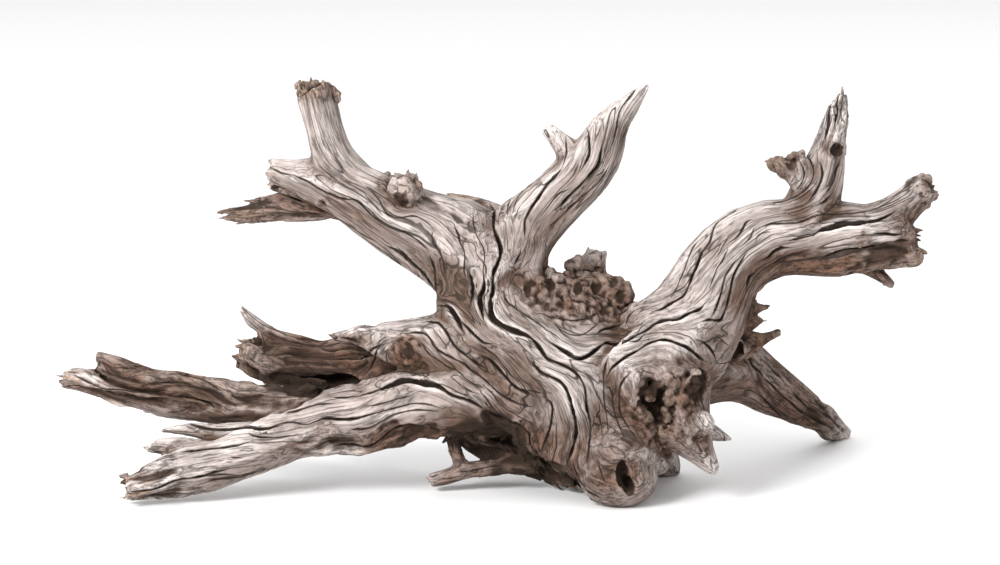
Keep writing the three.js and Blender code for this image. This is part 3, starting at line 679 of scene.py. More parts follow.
def crack_traces(tree):
    """The drawn cracks laid on the wood's surface: points in millimetres and the way they run."""
    eye, right, up = view_axes()
    places, ways = [], []
    for _, line in CRACKS:
        line = rounded(line) * MM
        for start, end in zip(line, line[1:]):
            steps = max(1, int(np.linalg.norm(end - start) / (5 * MM)))
            laid = []
            for t in np.arange(steps + 1) / steps:
                x, z = start + (end - start) * t
                plane = VIEW_TARGET + right * (x - VIEW_TARGET.x) + up * (z - VIEW_TARGET.z)
                hit = tree.ray_cast(eye, plane - eye)[0]
                laid.append(None if hit is None else np.array(hit) / MM)
            for a, b in zip(laid, laid[1:]):
                if a is not None and b is not None and 0.5 < np.linalg.norm(b - a) < 16:
                    places.append((a + b) / 2)
                    ways.append((b - a) / np.linalg.norm(b - a))
    return np.array(places), np.array(ways)


def grain_way(points, traces):
    """The way the grain runs at each point, and the radius of the limb it is in."""
    centres, ways, radii, shares = limb_samples()
    places, runs = traces
    way = np.empty_like(points)
    girth = np.empty(len(points))
    for first in range(0, len(points), 4000):
        part = points[first:first + 4000]
        gap = np.linalg.norm(part[:, None] - centres[None], axis=2) / (radii + 3)
        pull = np.exp(-4.5 * gap**2) * shares + 1e-12 * np.exp(-0.2 * gap)
        pull /= pull.sum(1, keepdims=True)
        girth[first:first + 4000] = pull @ radii
        outward = pull @ ways
        spread = np.einsum("ps,si,sj->pij", pull, ways, ways, optimize=True)
        reach = np.linalg.norm(part[:, None] - places[None], axis=2)
        near = np.exp(-((reach / 13) ** 2)) * 1.2
        spread += np.einsum("ps,si,sj->pij", near, runs, runs, optimize=True)
        main = np.linalg.eigh(spread)[1][:, :, 2]
        main *= np.where((main * outward).sum(1, keepdims=True) < 0, -1, 1)
        way[first:first + 4000] = main
    return way, girth


def even_out(values, edges, rounds, normalise=False):
    """Blends each vertex's values with its neighbours'."""
    count = len(values)
    a, b = edges.T
    share = np.bincount(a, minlength=count) + np.bincount(b, minlength=count) + 1.0
    for _ in range(rounds):
        total = values.copy()
        for k in range(values.shape[1]):
            total[:, k] += np.bincount(a, values[b, k], count) + np.bincount(b, values[a, k], count)
        values = total / share[:, None]
        if normalise:
            values = unit(values)
    return values


def grain_frame(way):
    """Across, depth and along: three crossed ways at each point."""
    across = unit(np.cross((0.045, 1.0, 0.03), way))
    return np.stack((across, np.cross(way, across), way), 1)


def solve_grain(points, edges, ways, rounds):
    """Grain coordinates at each vertex, in millimetres across, in depth and along, by conjugate gradients.

    Neighbours along the grain are tied far more tightly than neighbours across it, so a line of
    constant value follows the grain round every bend and knot.
    """
    a, b = edges.T
    step = points[b] - points[a]
    axes = unit(ways[a] + ways[b])
    rise = np.einsum("eki,ei->ek", axes, step)
    lengthwise = rise[:, 2] ** 2 / np.maximum((step**2).sum(1), 1e-9)
    tie = 1 + 40 * lengthwise
    count = len(points)

    def gather(flow):
        return np.stack(
            [np.bincount(b, flow[:, k], count) - np.bincount(a, flow[:, k], count) for k in range(3)], 1
        )

    weight = np.bincount(a, tie, count) + np.bincount(b, tie, count) + 1e-4
    values = np.zeros((count, 3))
    left = gather(rise * tie[:, None])
    eased = left / weight[:, None]
    heading = eased.copy()
    fit = (left * eased).sum(0)
    for _ in range(rounds):
        pushed = gather((heading[b] - heading[a]) * tie[:, None]) + 1e-4 * heading
        stride = fit / np.maximum((heading * pushed).sum(0), 1e-12)
        values += heading * stride
        left -= pushed * stride
        eased = left / weight[:, None]
        fit_now = (left * eased).sum(0)
        heading = eased + heading * (fit_now / np.maximum(fit, 1e-12))
        fit = fit_now
    return values


def slopes(points, edges, values, ways):
    """How the grain coordinates change around each vertex, as 3 by 3 slopes."""
    a, b = edges.T
    count = len(points)
    step, rise = points[b] - points[a], values[b] - values[a]

    def summed(left, right):
        products = np.einsum("ei,ej->eij", left, right).reshape(len(left), 9)
        total = [np.bincount(a, product, count) + np.bincount(b, product, count) for product in products.T]
        return np.stack(total, 1).reshape(count, 3, 3)

    hold = 0.3 * (step**2).sum(1).mean()
    spans = summed(step, step) + hold * np.eye(3)
    return (summed(rise, step) + hold * ways) @ np.linalg.inv(spans)


def carry_over(tree, points, coarse_points, tables, values, gradients):
    """Takes the coarse surface's tables to other points, from the six nearest coarse vertices."""
    nearest = np.empty((len(points), 6), np.int64)
    far = np.empty((len(points), 6))
    for i, point in enumerate(points):
        found = tree.find_n(point, 6)
        nearest[i] = [f[1] for f in found]
        far[i] = [f[2] for f in found]
    share = np.clip(1 - far / (far[:, 5:] * 1.02), 0, 1) ** 2 + 1e-9
    share /= share.sum(1, keepdims=True)
    grain = np.zeros((len(points), 3))
    carried = np.zeros((len(points), tables.shape[1]))
    for k in range(6):
        at = nearest[:, k]
        offset = points - coarse_points[at]
        grain += share[:, k:k + 1] * (values[at] + np.einsum("pij,pj->pi", gradients[at], offset))
        carried += share[:, k:k + 1] * tables[at]
    return grain, carried


# ---------------------------------------------------------------- cracks


def measure_cracks(points, normals, tree):
    """For each point and layer: signed distance to the nearest crack, plain distance and width, in mm."""
    eye = view_axes()[0]
    flat = seen_from_front(points)
    towards = unit(np.array(eye) - points * MM)
    facing = (normals * towards).sum(1) > 0.05
    hidden = {}

    def visible(i):
        if i not in hidden:
            start = Vector(points[i] * MM) + Vector(towards[i]) * 0.004
            hidden[i] = tree.ray_cast(start, Vector(towards[i]))[0] is None
        return hidden[i]

    layers = []
    for members in crack_layers():
        found = np.tile((CRACK_REACH, CRACK_REACH, 1.0), (len(points), 1))
        best = np.full(len(points), 1e9)
        for width, line in (CRACKS[k] for k in members):
            line = rounded(line)
            low, high = line.min(0) - CRACK_REACH, line.max(0) + CRACK_REACH
            near = np.flatnonzero(facing & ((flat > low) & (flat < high)).all(1))
            near = near[[visible(i) for i in near]] if len(near) else near
            if not len(near):
                continue
            spot = flat[near]
            steps = np.linalg.norm(np.diff(line, axis=0), axis=1)
            along = np.concatenate(([0], np.cumsum(steps)))
            gap = np.full(len(near), 1e9)
            side, run = np.full(len(near), CRACK_REACH), np.zeros(len(near))
            for k, (start, end) in enumerate(zip(line, line[1:])):
                way = (end - start) / max(steps[k], 1e-6)
                t = np.clip((spot - start) @ way, 0, steps[k])
                d = np.linalg.norm(spot - start - t[:, None] * way, axis=1)
                closer = d < gap
                gap[closer] = d[closer]
                turn = way[0] * (spot[:, 1] - start[1]) - way[1] * (spot[:, 0] - start[0])
                side[closer] = (np.sign(turn) * d)[closer]
                run[closer] = (along[k] + t)[closer]
            ends = np.minimum(run, along[-1] - run)
            wide = width * np.clip(0.15 + ends / (5 + 2.5 * width), 0, 1)
            wide *= 0.85 + 0.5 * ripple(np.stack((run / 11, run * 0 + width, run * 0), 1), 5)
            better = (gap < best[near]) & (gap < CRACK_REACH)
            best[near[better]] = gap[better]
            found[near[better]] = np.stack((side, gap, wide), 1)[better]
        layers.append(found)
    return layers


# ---------------------------------------------------------------- the wood


def only(obj):
    """Selects one object and makes it the active one."""
    bpy.ops.object.select_all(action="DESELECT")
    obj.select_set(True)
    bpy.context.view_layer.objects.active = obj


def add_modifier(obj, kind, **settings):
    only(obj)
    modifier = obj.modifiers.new(kind.title(), kind)
    for key, value in settings.items():
        setattr(modifier, key, value)
    bpy.ops.object.modifier_apply(modifier=modifier.name)


def nodule_places(tree):
    """Where the small round growths stand and their half sizes, in millimetres."""
    eye, right, up = view_axes()
    chance = np.random.default_rng(8)
    places = []
    for name, growths in NODULES.items():
        for x, z, radius in growths:
            aim = VIEW_TARGET + right * (x * MM - VIEW_TARGET.x) + up * (z * MM - VIEW_TARGET.z)
            way = (aim - eye).normalized()
            hit = tree.ray_cast(eye, way)[0]
            if hit is None or name == "inner_knot":
                if name not in NODULE_DEPTH:
                    continue
                hit = eye + way * ((NODULE_DEPTH[name] * MM - eye.y) / way.y)
            middle = np.array(hit + way * radius * MM * SUNK.get(name, 0.1)) / MM
            places.append((name, middle, chance.uniform(0.75, 1.4, 3) * radius))
    return places


def add_nodules(wood, places):
    """Sets the small round growths into the wood's surface, before it is given an even skin."""
    bpy.ops.object.select_all(action="DESELECT")
    bpy.ops.mesh.primitive_ico_sphere_add(subdivisions=2, radius=1, location=(0, 0, 0))
    ball = bpy.context.active_object
    shape = read_points(ball.data)
    triangles = np.array([tuple(p.vertices) for p in ball.data.polygons])
    bpy.data.objects.remove(ball)
    placed = [(middle + shape * half) * MM for _, middle, half in places]
    for middle, half in FILLINGS:
        placed.append((np.array(middle) + shape * half) * MM)
    mesh = bpy.data.meshes.new("nodules")
    faces = np.concatenate([triangles + k * len(shape) for k in range(len(placed))])
    mesh.from_pydata(np.concatenate(placed).tolist(), [], faces.tolist())
    holder = bpy.data.objects.new("nodules", mesh)
    bpy.context.scene.collection.objects.link(holder)
    only(wood)
    holder.select_set(True)
    bpy.ops.object.join()


def remeshed_copy(source, name, voxel, rounds, places=()):
    """A copy of the wood with an even skin, its creases melted together."""
    copy = bpy.data.objects.new(name, source.data.copy())
    bpy.context.scene.collection.objects.link(copy)
    only(copy)
    bpy.ops.object.mode_set(mode="EDIT")
    bpy.ops.mesh.select_all(action="SELECT")
    bpy.ops.mesh.remove_doubles(threshold=0.01 * MM)
    bpy.ops.object.mode_set(mode="OBJECT")
    if places:
        add_modifier(copy, "REMESH", mode="VOXEL", voxel_size=2 * MM)
        add_modifier(copy, "SMOOTH", factor=0.5, iterations=rounds)
        add_nodules(copy, places)
        rounds = 2
    add_modifier(copy, "REMESH", mode="VOXEL", voxel_size=voxel * MM)
    if rounds:
        add_modifier(copy, "SMOOTH", factor=0.5, iterations=rounds)
    return copy


def surface_tree(obj):
    """The surface set out so that rays can be cast at it."""
    return BVHTree.FromObject(obj, bpy.context.evaluated_depsgraph_get())


def furrows(grain, girth, rot, flaky, shape):
    """How far the weather has lifted or worn the surface, in millimetres."""
    across, deep, along = grain.T
    sway = 7 * ripple(np.stack((across / 90, deep / 90, along / 70), 1), 9)
    sway += 2.5 * ripple(np.stack((across / 30, deep / 30, along / 34), 1), 10)
    a, d = across + sway, deep + 0.7 * sway

    def layer(wide, long, seed):
        return ripple(np.stack((a / wide, d / wide, along / long), 1), seed)

    def flakes(wide, long, seed):
        step = layer(wide, long, seed)
        return np.sign(step) * np.sqrt(np.abs(step))

    ropes = 1 - 2.2 * np.abs(layer(17, 150, 2))
    cords = 1 - 2.2 * np.abs(layer(8, 90, 3))
    lift = 0.9 * layer(30, 260, 1) + 0.4 * ropes + 0.32 * cords + 0.16 * layer(4.5, 60, 4) - 0.3
    lift *= shape.ridge_height / MM
    lift -= 1.8 * ease(0.08, 0.0, np.abs(layer(34, 420, 6))) * ease(0.05, 0.5, layer(60, 120, 7))
    lift += flaky * (5.5 * flakes(15, 90, 20) + 3.2 * flakes(7, 50, 21) + 3.0 * layer(22, 26, 22) - 2.2)
    crumble = 5.0 * flakes(12, 30, 8) + 2.6 * layer(5, 12, 11) - 2.4
    return np.clip(girth / 24, 0.18, 1) * (lift * (1 - rot) + rot * crumble)


def model_fibre():
    """One torn fibre, a bent spike 1 long and 1 wide at its foot, as points and triangles."""
    bpy.ops.object.select_all(action="DESELECT")
    bpy.ops.mesh.primitive_cone_add(vertices=5, radius1=0.5, radius2=0.14, depth=1, location=(0, 0, 0.5))
    fibre = bpy.context.active_object
    bpy.ops.object.transform_apply(location=True, rotation=True, scale=True)
    bpy.ops.object.mode_set(mode="EDIT")
    for height in (0.4, 0.78):
        bpy.ops.mesh.select_all(action="SELECT")
        bpy.ops.mesh.bisect(plane_co=(0, 0, height), plane_no=(0, 0, 1))
    bpy.ops.mesh.select_all(action="SELECT")
    bpy.ops.mesh.quads_convert_to_tris()
    bpy.ops.mesh.normals_make_consistent(inside=False)
    bpy.ops.object.mode_set(mode="OBJECT")
    points = read_points(fibre.data)
    points[:, :2] *= 1 + 1.1 * points[:, 2:] * (1 - points[:, 2:])
    points[:, 0] += 0.35 * points[:, 2] ** 2
    triangles = np.array([tuple(p.vertices) for p in fibre.data.polygons])
    bpy.data.objects.remove(fibre)
    return points, triangles


def add_torn_fibres(wood):
    """Joins splinters to the wood wherever it is torn or rotten, each running on from the grain."""
    chance = np.random.default_rng(5)
    shape, triangles = model_fibre()
    points, normals = read_points(wood.data) / MM, read_normals(wood.data)
    names = ("grain", "crack_a", "crack_b", "crack_c", "stain_and_light", "relief", "growth", "way")
    table = {name: read_vectors(wood.data, name) for name in names}
    spikes, added = [], {name: [] for name in names}
    for middle, half, count, length, width, pull in TORN:
        near = np.flatnonzero(np.linalg.norm((points - middle) / half, axis=1) < 1)
        if not len(near):
            continue
        for i in chance.choice(near, count):
            lean = chance.uniform(-0.1, 0.4) * normals[i]
            way = unit(table["way"][i] * 0.9 + lean + np.array(pull) + chance.normal(size=3) * 0.16)
            side = unit(np.cross(way, normals[i] + 0.01))
            across = np.cross(way, side)
            tall = length * chance.uniform(0.35, 1.25)
            wide = max(width * chance.uniform(0.5, 1.3), tall * 0.3)
            foot = points[i] - way * tall * 0.3 - normals[i] * wide * 0.4
            flat = chance.uniform(0.3, 0.8)
            body = shape * (wide * 1.3, wide * 1.3 * flat, tall)
            placed = foot + body[:, :1] * across + body[:, 1:2] * side + body[:, 2:] * way
            placed[:, 2] = np.maximum(placed[:, 2], 0.05)
            spikes.append(placed)
            for name in names:
                added[name].append(np.repeat(table[name][i][None], len(shape), 0))
            added["grain"][-1] = added["grain"][-1] + body * MM
            for name in names[1:4]:
                added[name][-1][:] = (CRACK_REACH, CRACK_REACH, 1)
            added["stain_and_light"][-1][:, 2] = np.maximum(added["stain_and_light"][-1][:, 2], chance.uniform(0, 0.8))
    splinters = bpy.data.meshes.new("splinters")
    faces = np.concatenate([triangles + k * len(shape) for k in range(len(spikes))])
    splinters.from_pydata((np.concatenate(spikes) * MM).tolist(), [], faces.tolist())
    for name in names:
        write_vectors(splinters, name, np.concatenate(added[name]))
    holder = bpy.data.objects.new("splinters", splinters)
    bpy.context.scene.collection.objects.link(holder)
    only(wood)
    holder.select_set(True)
    bpy.ops.object.join()


def drop_crumbs(wood):
    """Removes the specks that have come loose at the thin tips."""
    only(wood)
    bpy.ops.object.mode_set(mode="EDIT")
    bpy.ops.mesh.select_all(action="DESELECT")
    bpy.ops.object.mode_set(mode="OBJECT")
    in_front = np.array((-100, -60, 200)) * MM
    chosen = int(np.linalg.norm(read_points(wood.data) - in_front, axis=1).argmin())
    wood.data.vertices[chosen].select = True
    bpy.ops.object.mode_set(mode="EDIT")
    bpy.ops.mesh.select_linked()
    bpy.ops.mesh.select_all(action="INVERT")
    bpy.ops.mesh.delete(type="VERT")
    bpy.ops.object.mode_set(mode="OBJECT")


def grain_guide(source, shape):
    """The coarse surface and everything that is worked out on it before it is carried to the fine skin."""
    coarse = remeshed_copy(source, "grain_guide", shape.guide_spacing / MM, 5)
    tree = surface_tree(coarse)
    guide = read_points(coarse.data) / MM
    edges = read_edges(coarse.data)
    way, girth = grain_way(guide, crack_traces(tree))
    way = even_out(way, edges, 3, normalise=True)
    normals = read_normals(coarse.data)
    hollow = ((even_out(guide, edges, 14) - guide) * normals).sum(1)
    deep_hollow = ((even_out(guide, edges, 60) - guide) * normals).sum(1)
    frames = grain_frame(way)
    values = solve_grain(guide, edges, frames, 1500)
    gradients = slopes(guide, edges, values, frames)
    tables = np.column_stack((girth, hollow, deep_hollow, normals[:, 2], way))
    near = KDTree(len(guide))
    for i, point in enumerate(guide):
        near.insert(point, i)
    near.balance()
    bpy.data.objects.remove(coarse)
    return tree, (near, guide, tables, values, gradients)


def stained(points, places):
    """How rotten, brown, straw-coloured, warty and flaky the wood is at each point, from 0 to 1; brown drops
    below 0 where painted light makes the wood paler.
    """
    rot = inside_of(ROTTEN, points, 0.16)
    brown = inside_of(BROWN, points, 0.3, 0.45)
    # Painted light: the pale regions push brown below 0, and the finish turns that into lighter wood
    brown -= inside_of(PALE_AND_LIT, points, 0.3, 0.5) * (1 - brown)
    barky = [(middle, half * 1.25) for name, middle, half in places if name != "foot_knot"]
    brown = np.maximum(brown, 0.8 * inside_of(barky, points, 0.4, 0.6))
    straw = inside_of(BROKEN, points, 0.25)
    return rot, brown, straw, inside_of(WARTY, points, 0.2), inside_of(FLAKY, points, 0.3)


def cracked(cracks, girth, shape):
    """How far the cracks cut into the wood, and how far their lips stand out of it, in millimetres."""
    carve, lips = np.zeros(len(girth)), np.zeros(len(girth))
    for _, gap, wide in (layer.T for layer in cracks):
        open_part = ease(1.0, 0.2, gap / (0.55 * wide + 0.5)) * ease(0.8, 2.2, wide)
        carve = np.maximum(carve, np.minimum(2.0 * wide, shape.crack_depth / MM) * open_part)
        lips += 0.2 * wide * np.exp(-(((gap - 0.9 * wide) / (1.2 + 0.6 * wide)) ** 2)) * (gap < 11)
    return carve * np.clip(girth / 22, 0.3, 1), lips


def grow_wood(shape):
    """Makes the driftwood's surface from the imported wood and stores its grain, cracks and stains."""
    source = frame["nodes"]["driftwood"]
    tree, (near, *guide) = grain_guide(source, shape)
    places = nodule_places(tree)
    wood = remeshed_copy(source, "driftwood_wood", shape.skin_spacing / MM, 9, places)
    points = read_points(wood.data) / MM
    normals = read_normals(wood.data)
    grain, carried = carry_over(near, points, *guide)
    girth, hollow, deep_hollow, upward = carried[:, :4].T
    cracks = measure_cracks(points, normals, surface_tree(wood))
    rot, brown, straw, warty, flaky = stained(points, places)

    lift = furrows(grain, girth, rot, flaky, shape) * (1 - 0.6 * warty)
    bumps = 4.0 * warts(points / 13, 1) + 2.4 * warts(points / 6.5, 2) - 2.4
    lift += warty * np.clip(girth / 16, 0.4, 1) * bumps
    carve, lips = cracked(cracks, girth, shape)
    raised = points + normals * (lift + lips - carve)[:, None]
    low, high = np.array(cad_low) / MM, np.array(cad_high) / MM
    raised = np.clip(raised, low - 4, high + 4)
    raised[:, 2] = np.maximum(raised[:, 2], low[2])
    write_points(wood.data, raised * MM)
    pit = ((even_out(raised, read_edges(wood.data), 8) - raised) * read_normals(wood.data)).sum(1)

    write_vectors(wood.data, "grain", grain * MM)
    for name, layer in zip(("crack_a", "crack_b", "crack_c"), cracks):
        layer[:, 2] = np.where(layer[:, 2] > WIDEST_PAINTED, 0, layer[:, 2])
        write_vectors(wood.data, name, layer)
    # The brown channel also carries painted light, below 0 in the pale regions
    write_vectors(wood.data, "stain_and_light", np.stack((rot, brown, straw), 1))
    # How hollow the surface is, which the finish paints as shade in the creases and hollows
    worn = hollow / 3 + deep_hollow / 9 + pit / 0.9
    write_vectors(wood.data, "relief", np.stack((lift / 4, worn, upward), 1))
    write_vectors(wood.data, "growth", np.stack((warty, flaky, pit), 1))
    write_vectors(wood.data, "way", carried[:, 4:])

    faces = len(wood.data.polygons) * 2
    add_modifier(wood, "TRIANGULATE")
    add_modifier(wood, "DECIMATE", ratio=min(1.0, shape.most_triangles / faces))
    drop_crumbs(wood)
    add_torn_fibres(wood)
    wood.data.attributes.remove(wood.data.attributes["way"])
    only(wood)
    bpy.ops.object.shade_smooth()
    return wood


# ---------------------------------------------------------------- the finish


class Graph:
    """Shorthand for joining a material's nodes."""

    def __init__(self, material):
        material.use_nodes = True
        self.tree = material.node_tree
        self.shader = next(n for n in self.tree.nodes if n.type == "BSDF_PRINCIPLED")

    def put(self, socket, value):
        if isinstance(value, bpy.types.NodeSocket):
            self.tree.links.new(value, socket)
        else:
            socket.default_value = value

    def node(self, kind, **settings):
        node = self.tree.nodes.new(kind)
        for key, value in settings.items():
            setattr(node, key, value)
        return node

    def math(self, operation, a, b=0.5, clamp=False):
        node = self.node("ShaderNodeMath", operation=operation, use_clamp=clamp)
        self.put(node.inputs[0], a)
        self.put(node.inputs[1], b)
        return node.outputs[0]

    def ramp(self, value, low, high, start=0.0, end=1.0):
        """Start below low, end above high and an eased change between."""
        node = self.node("ShaderNodeMapRange", interpolation_type="SMOOTHSTEP")
        for name, setting in zip(("Value", "From Min", "From Max", "To Min", "To Max"),
                                 (value, low, high, start, end)):
            self.put(node.inputs[name], setting)
        return node.outputs["Result"]

    def mix(self, share, a, b):
        node = self.node("ShaderNodeMix", data_type="RGBA")
        self.put(node.inputs[0], share)
        self.put(node.inputs[6], a)
        self.put(node.inputs[7], b)
        return node.outputs[2]

    def parts(self, name):
        attribute = self.node("ShaderNodeAttribute", attribute_name=name)
        split = self.node("ShaderNodeSeparateXYZ")
        self.put(split.inputs[0], attribute.outputs["Vector"])
        return attribute.outputs["Vector"], split.outputs

    def stretched(self, vector, scale):
        node = self.node("ShaderNodeVectorMath", operation="MULTIPLY")
        self.put(node.inputs[0], vector)
        node.inputs[1].default_value = scale
        return node.outputs[0]

    def noise(self, vector, scale=1.0, detail=2.0, rough=0.5):
        node = self.node("ShaderNodeTexNoise")
        self.put(node.inputs["Vector"], vector)
        node.inputs["Scale"].default_value = scale
        node.inputs["Detail"].default_value = detail
        node.inputs["Roughness"].default_value = rough
        return node.outputs["Fac"]


def lines(graph, vector, width):
    """Thin lines along the grain: 1 on a line and 0 beside it."""
    wave = graph.noise(vector, detail=1.0)
    return graph.ramp(graph.math("ABSOLUTE", graph.math("SUBTRACT", wave, 0.5)), width, width * 0.25)


# How many times a metre each pattern repeats: across the grain, into it and along it
PATTERNS = {
    "broad": (55, 55, 5), "streak": (230, 230, 11), "fibre": (640, 640, 12), "crumble": (330, 330, 90),
    "hair": (210, 210, 4.2), "rings": (125, 125, 3), "checks": (70, 70, 2.4), "flecks": (620, 620, 26),
}


def finish_wood(wood, colours):
    """Silver-grey weathered wood, with dark cracks painted as shade, brown rot and straw-coloured breaks,
    painted shade on the undersides, creases, hollows and between warts, and painted light on the tops and
    wart crowns.
    """
    material = bpy.data.materials.new("weathered_wood")
    graph = Graph(material)
    grain, _ = graph.parts("grain")
    _, stain_and_light = graph.parts("stain_and_light")
    _, relief = graph.parts("relief")
    _, growth = graph.parts("growth")
    place = graph.node("ShaderNodeTexCoord").outputs["Object"]
    pattern = {name: graph.stretched(grain, scale) for name, scale in PATTERNS.items()}

    broad = graph.noise(pattern["broad"], detail=3)
    streak = graph.noise(pattern["streak"], detail=4, rough=0.6)
    fibre = graph.noise(pattern["fibre"], detail=3, rough=0.65)
    patch = graph.noise(place, scale=14, detail=4, rough=0.6)

    # Painted light and shade over real sun-whitening: wood facing up is painted lighter, wood facing down
    # darker, the pale regions add painted light and hollows get painted shade; random patches vary the tone
    sun = graph.math("MULTIPLY", graph.ramp(relief[2], -0.6, 0.9), 0.37)
    sun = graph.math("SUBTRACT", sun, graph.math("MULTIPLY", graph.math("MINIMUM", stain_and_light[1], 0.0), 0.7))
    sun = graph.math("ADD", sun, graph.ramp(patch, 0.35, 0.65, -0.12, 0.1))
    sun = graph.math("ADD", sun, graph.ramp(broad, 0.35, 0.65, -0.07, 0.07))
    sun = graph.math("SUBTRACT", sun, graph.math("MULTIPLY", relief[1], 0.22), clamp=True)
    colour = graph.mix(sun, colours.shaded, colours.bleached_and_lit)
    brown = graph.ramp(graph.math("ADD", patch, broad), 0.75, 1.25, 1.0, 0.68)
    brown = graph.math("MULTIPLY", stain_and_light[1], brown, clamp=True)
    colour = graph.mix(brown, colour, colours.brown)
    straw = graph.math("MULTIPLY", stain_and_light[2], graph.ramp(streak, 0.4, 0.6))
    colour = graph.mix(straw, colour, colours.straw)

    crumble = graph.noise(pattern["crumble"], detail=6, rough=0.72)
    knotty = graph.math("MAXIMUM", growth[0], stain_and_light[1], clamp=True)
    rough = graph.math("MAXIMUM", graph.math("MAXIMUM", growth[1], stain_and_light[0]), knotty)
    rough = graph.math("MAXIMUM", rough, 0.22, clamp=True)
    worn = graph.math("MULTIPLY", rough, graph.ramp(crumble, 0.56, 0.4, -0.35, 0.62))
    tint = graph.math("SUBTRACT", 1.0, worn)
    tint = graph.math("MULTIPLY", tint, graph.ramp(streak, 0.36, 0.64, 0.86, 1.08))
    tint = graph.math("MULTIPLY", tint, graph.ramp(fibre, 0.36, 0.64, 0.74, 1.16))
    toned = graph.node("ShaderNodeVectorMath", operation="SCALE")
    graph.put(toned.inputs[0], colour)
    graph.put(toned.inputs["Scale"], tint)
    colour = toned.outputs[0]

    hair = lines(graph, pattern["hair"], 0.024)
    hair = graph.math("MULTIPLY", hair, graph.ramp(streak, 0.6, 0.44, 0.0, 0.6))
    rings = lines(graph, pattern["rings"], 0.022)
    rings = graph.math("MULTIPLY", rings, graph.ramp(patch, 0.62, 0.42, 0.1, 0.85))
    checks = lines(graph, pattern["checks"], 0.017)
    checks = graph.math("MULTIPLY", checks, graph.ramp(broad, 0.56, 0.46))
    fine = graph.math("MAXIMUM", graph.math("MAXIMUM", hair, rings), graph.math("MULTIPLY", checks, 0.95))
    flecks = graph.noise(pattern["flecks"], detail=1)
    fine = graph.math("MAXIMUM", fine, graph.ramp(flecks, 0.6, 0.72, 0.0, 0.6))
    fine = graph.math("MULTIPLY", fine, graph.ramp(growth[0], 0.1, 0.6, 1.0, 0.15))
    # How open each crack is here: its inside is painted dark as shade
    open_part, away = 0.0, 9.0
    for name in ("crack_a", "crack_b", "crack_c"):
        _, (side, gap, wide) = graph.parts(name)
        half = graph.math("MULTIPLY", wide, 0.5)
        beside = graph.math("SUBTRACT", graph.math("ABSOLUTE", side), half)
        distance = graph.math("SUBTRACT", gap, half)
        here = graph.math("MULTIPLY", graph.ramp(beside, 0.3, -0.3), graph.ramp(distance, 3.4, 2.6))
        open_part = graph.math("MAXIMUM", open_part, here)
        away = graph.math("MINIMUM", away, distance)
    # Painted shade with some dust: hollows and creases, grooves worn between the grain and the wood just
    # beside the cracks are painted darker
    hollows = graph.ramp(relief[1], 0.6, 2.0, 0.0, 0.75)
    dust_and_crease_shade = graph.math("MAXIMUM", graph.ramp(away, 1.4, 0.0, 0.0, 0.3), hollows)
    dust_and_crease_shade = graph.math("MAXIMUM", dust_and_crease_shade, graph.ramp(relief[0], -0.4, -1.3, 0.0, 0.8), clamp=True)
    # Painted shade in the gaps between the warts and knobs, and a painted highlight in straw colour on their
    # crowns
    between = graph.math("MULTIPLY", knotty, graph.ramp(growth[2], 0.0, 0.8, 0.0, 0.85))
    painted_crown_highlight = graph.math("MULTIPLY", knotty, graph.ramp(growth[2], -0.4, -1.5, 0.0, 0.4))
    dark = graph.math("MAXIMUM", open_part, fine, clamp=True)
    colour = graph.mix(dust_and_crease_shade, colour, colours.crease_shade_and_dust)
    colour = graph.mix(painted_crown_highlight, colour, colours.straw)
    colour = graph.mix(between, colour, colours.crack)
    rot = graph.ramp(graph.math("ADD", stain_and_light[0], graph.math("MULTIPLY", streak, 0.35)), 0.35, 0.85)
    colour = graph.mix(graph.math("MULTIPLY", rot, 0.95), colour, colours.rot)
    torn = graph.math("MULTIPLY", rot, graph.ramp(relief[0], 0.0, 0.8, 0.0, 0.85))
    colour = graph.mix(graph.math("MULTIPLY", torn, graph.ramp(streak, 0.4, 0.6)), colour, colours.straw)
    # Painted shade inside the open cracks, mixed in the crack colour with the fine dark grain lines
    colour = graph.mix(graph.math("MULTIPLY", dark, 0.92), colour, colours.crack)
    graph.put(graph.shader.inputs["Base Color"], colour)
    graph.put(graph.shader.inputs["Roughness"], graph.ramp(streak, 0.3, 0.7, 0.92, 0.74))
    graph.shader.inputs["Specular IOR Level"].default_value = 0.22

    height = graph.math("MULTIPLY", streak, 0.5)
    height = graph.math("ADD", height, graph.math("MULTIPLY", fibre, 0.5))
    height = graph.math("ADD", height, graph.math("MULTIPLY", graph.math("MULTIPLY", rough, crumble), 2.4))
    height = graph.math("SUBTRACT", height, graph.math("MULTIPLY", fine, 0.7))
    height = graph.math("SUBTRACT", height, graph.math("MULTIPLY", open_part, 1.6))
    bump = graph.node("ShaderNodeBump")
    bump.inputs["Strength"].default_value = 0.9
    bump.inputs["Distance"].default_value = 1.6 * MM
    graph.put(bump.inputs["Height"], height)
    graph.put(graph.shader.inputs["Normal"], bump.outputs["Normal"])
    wood.data.materials.clear()
    wood.data.materials.append(material)


# ---------------------------------------------------------------- the stage


def soft_light(name, place, aim, size, power):
    light = bpy.data.lights.new(name, "AREA")
    light.shape = "SQUARE"
    light.size = size
    light.energy = power
    holder = bpy.data.objects.new(name, light)
    bpy.context.scene.collection.objects.link(holder)
    holder.location = place
    holder.rotation_euler = (Vector(aim) - Vector(place)).to_track_quat("-Z", "Y").to_euler()


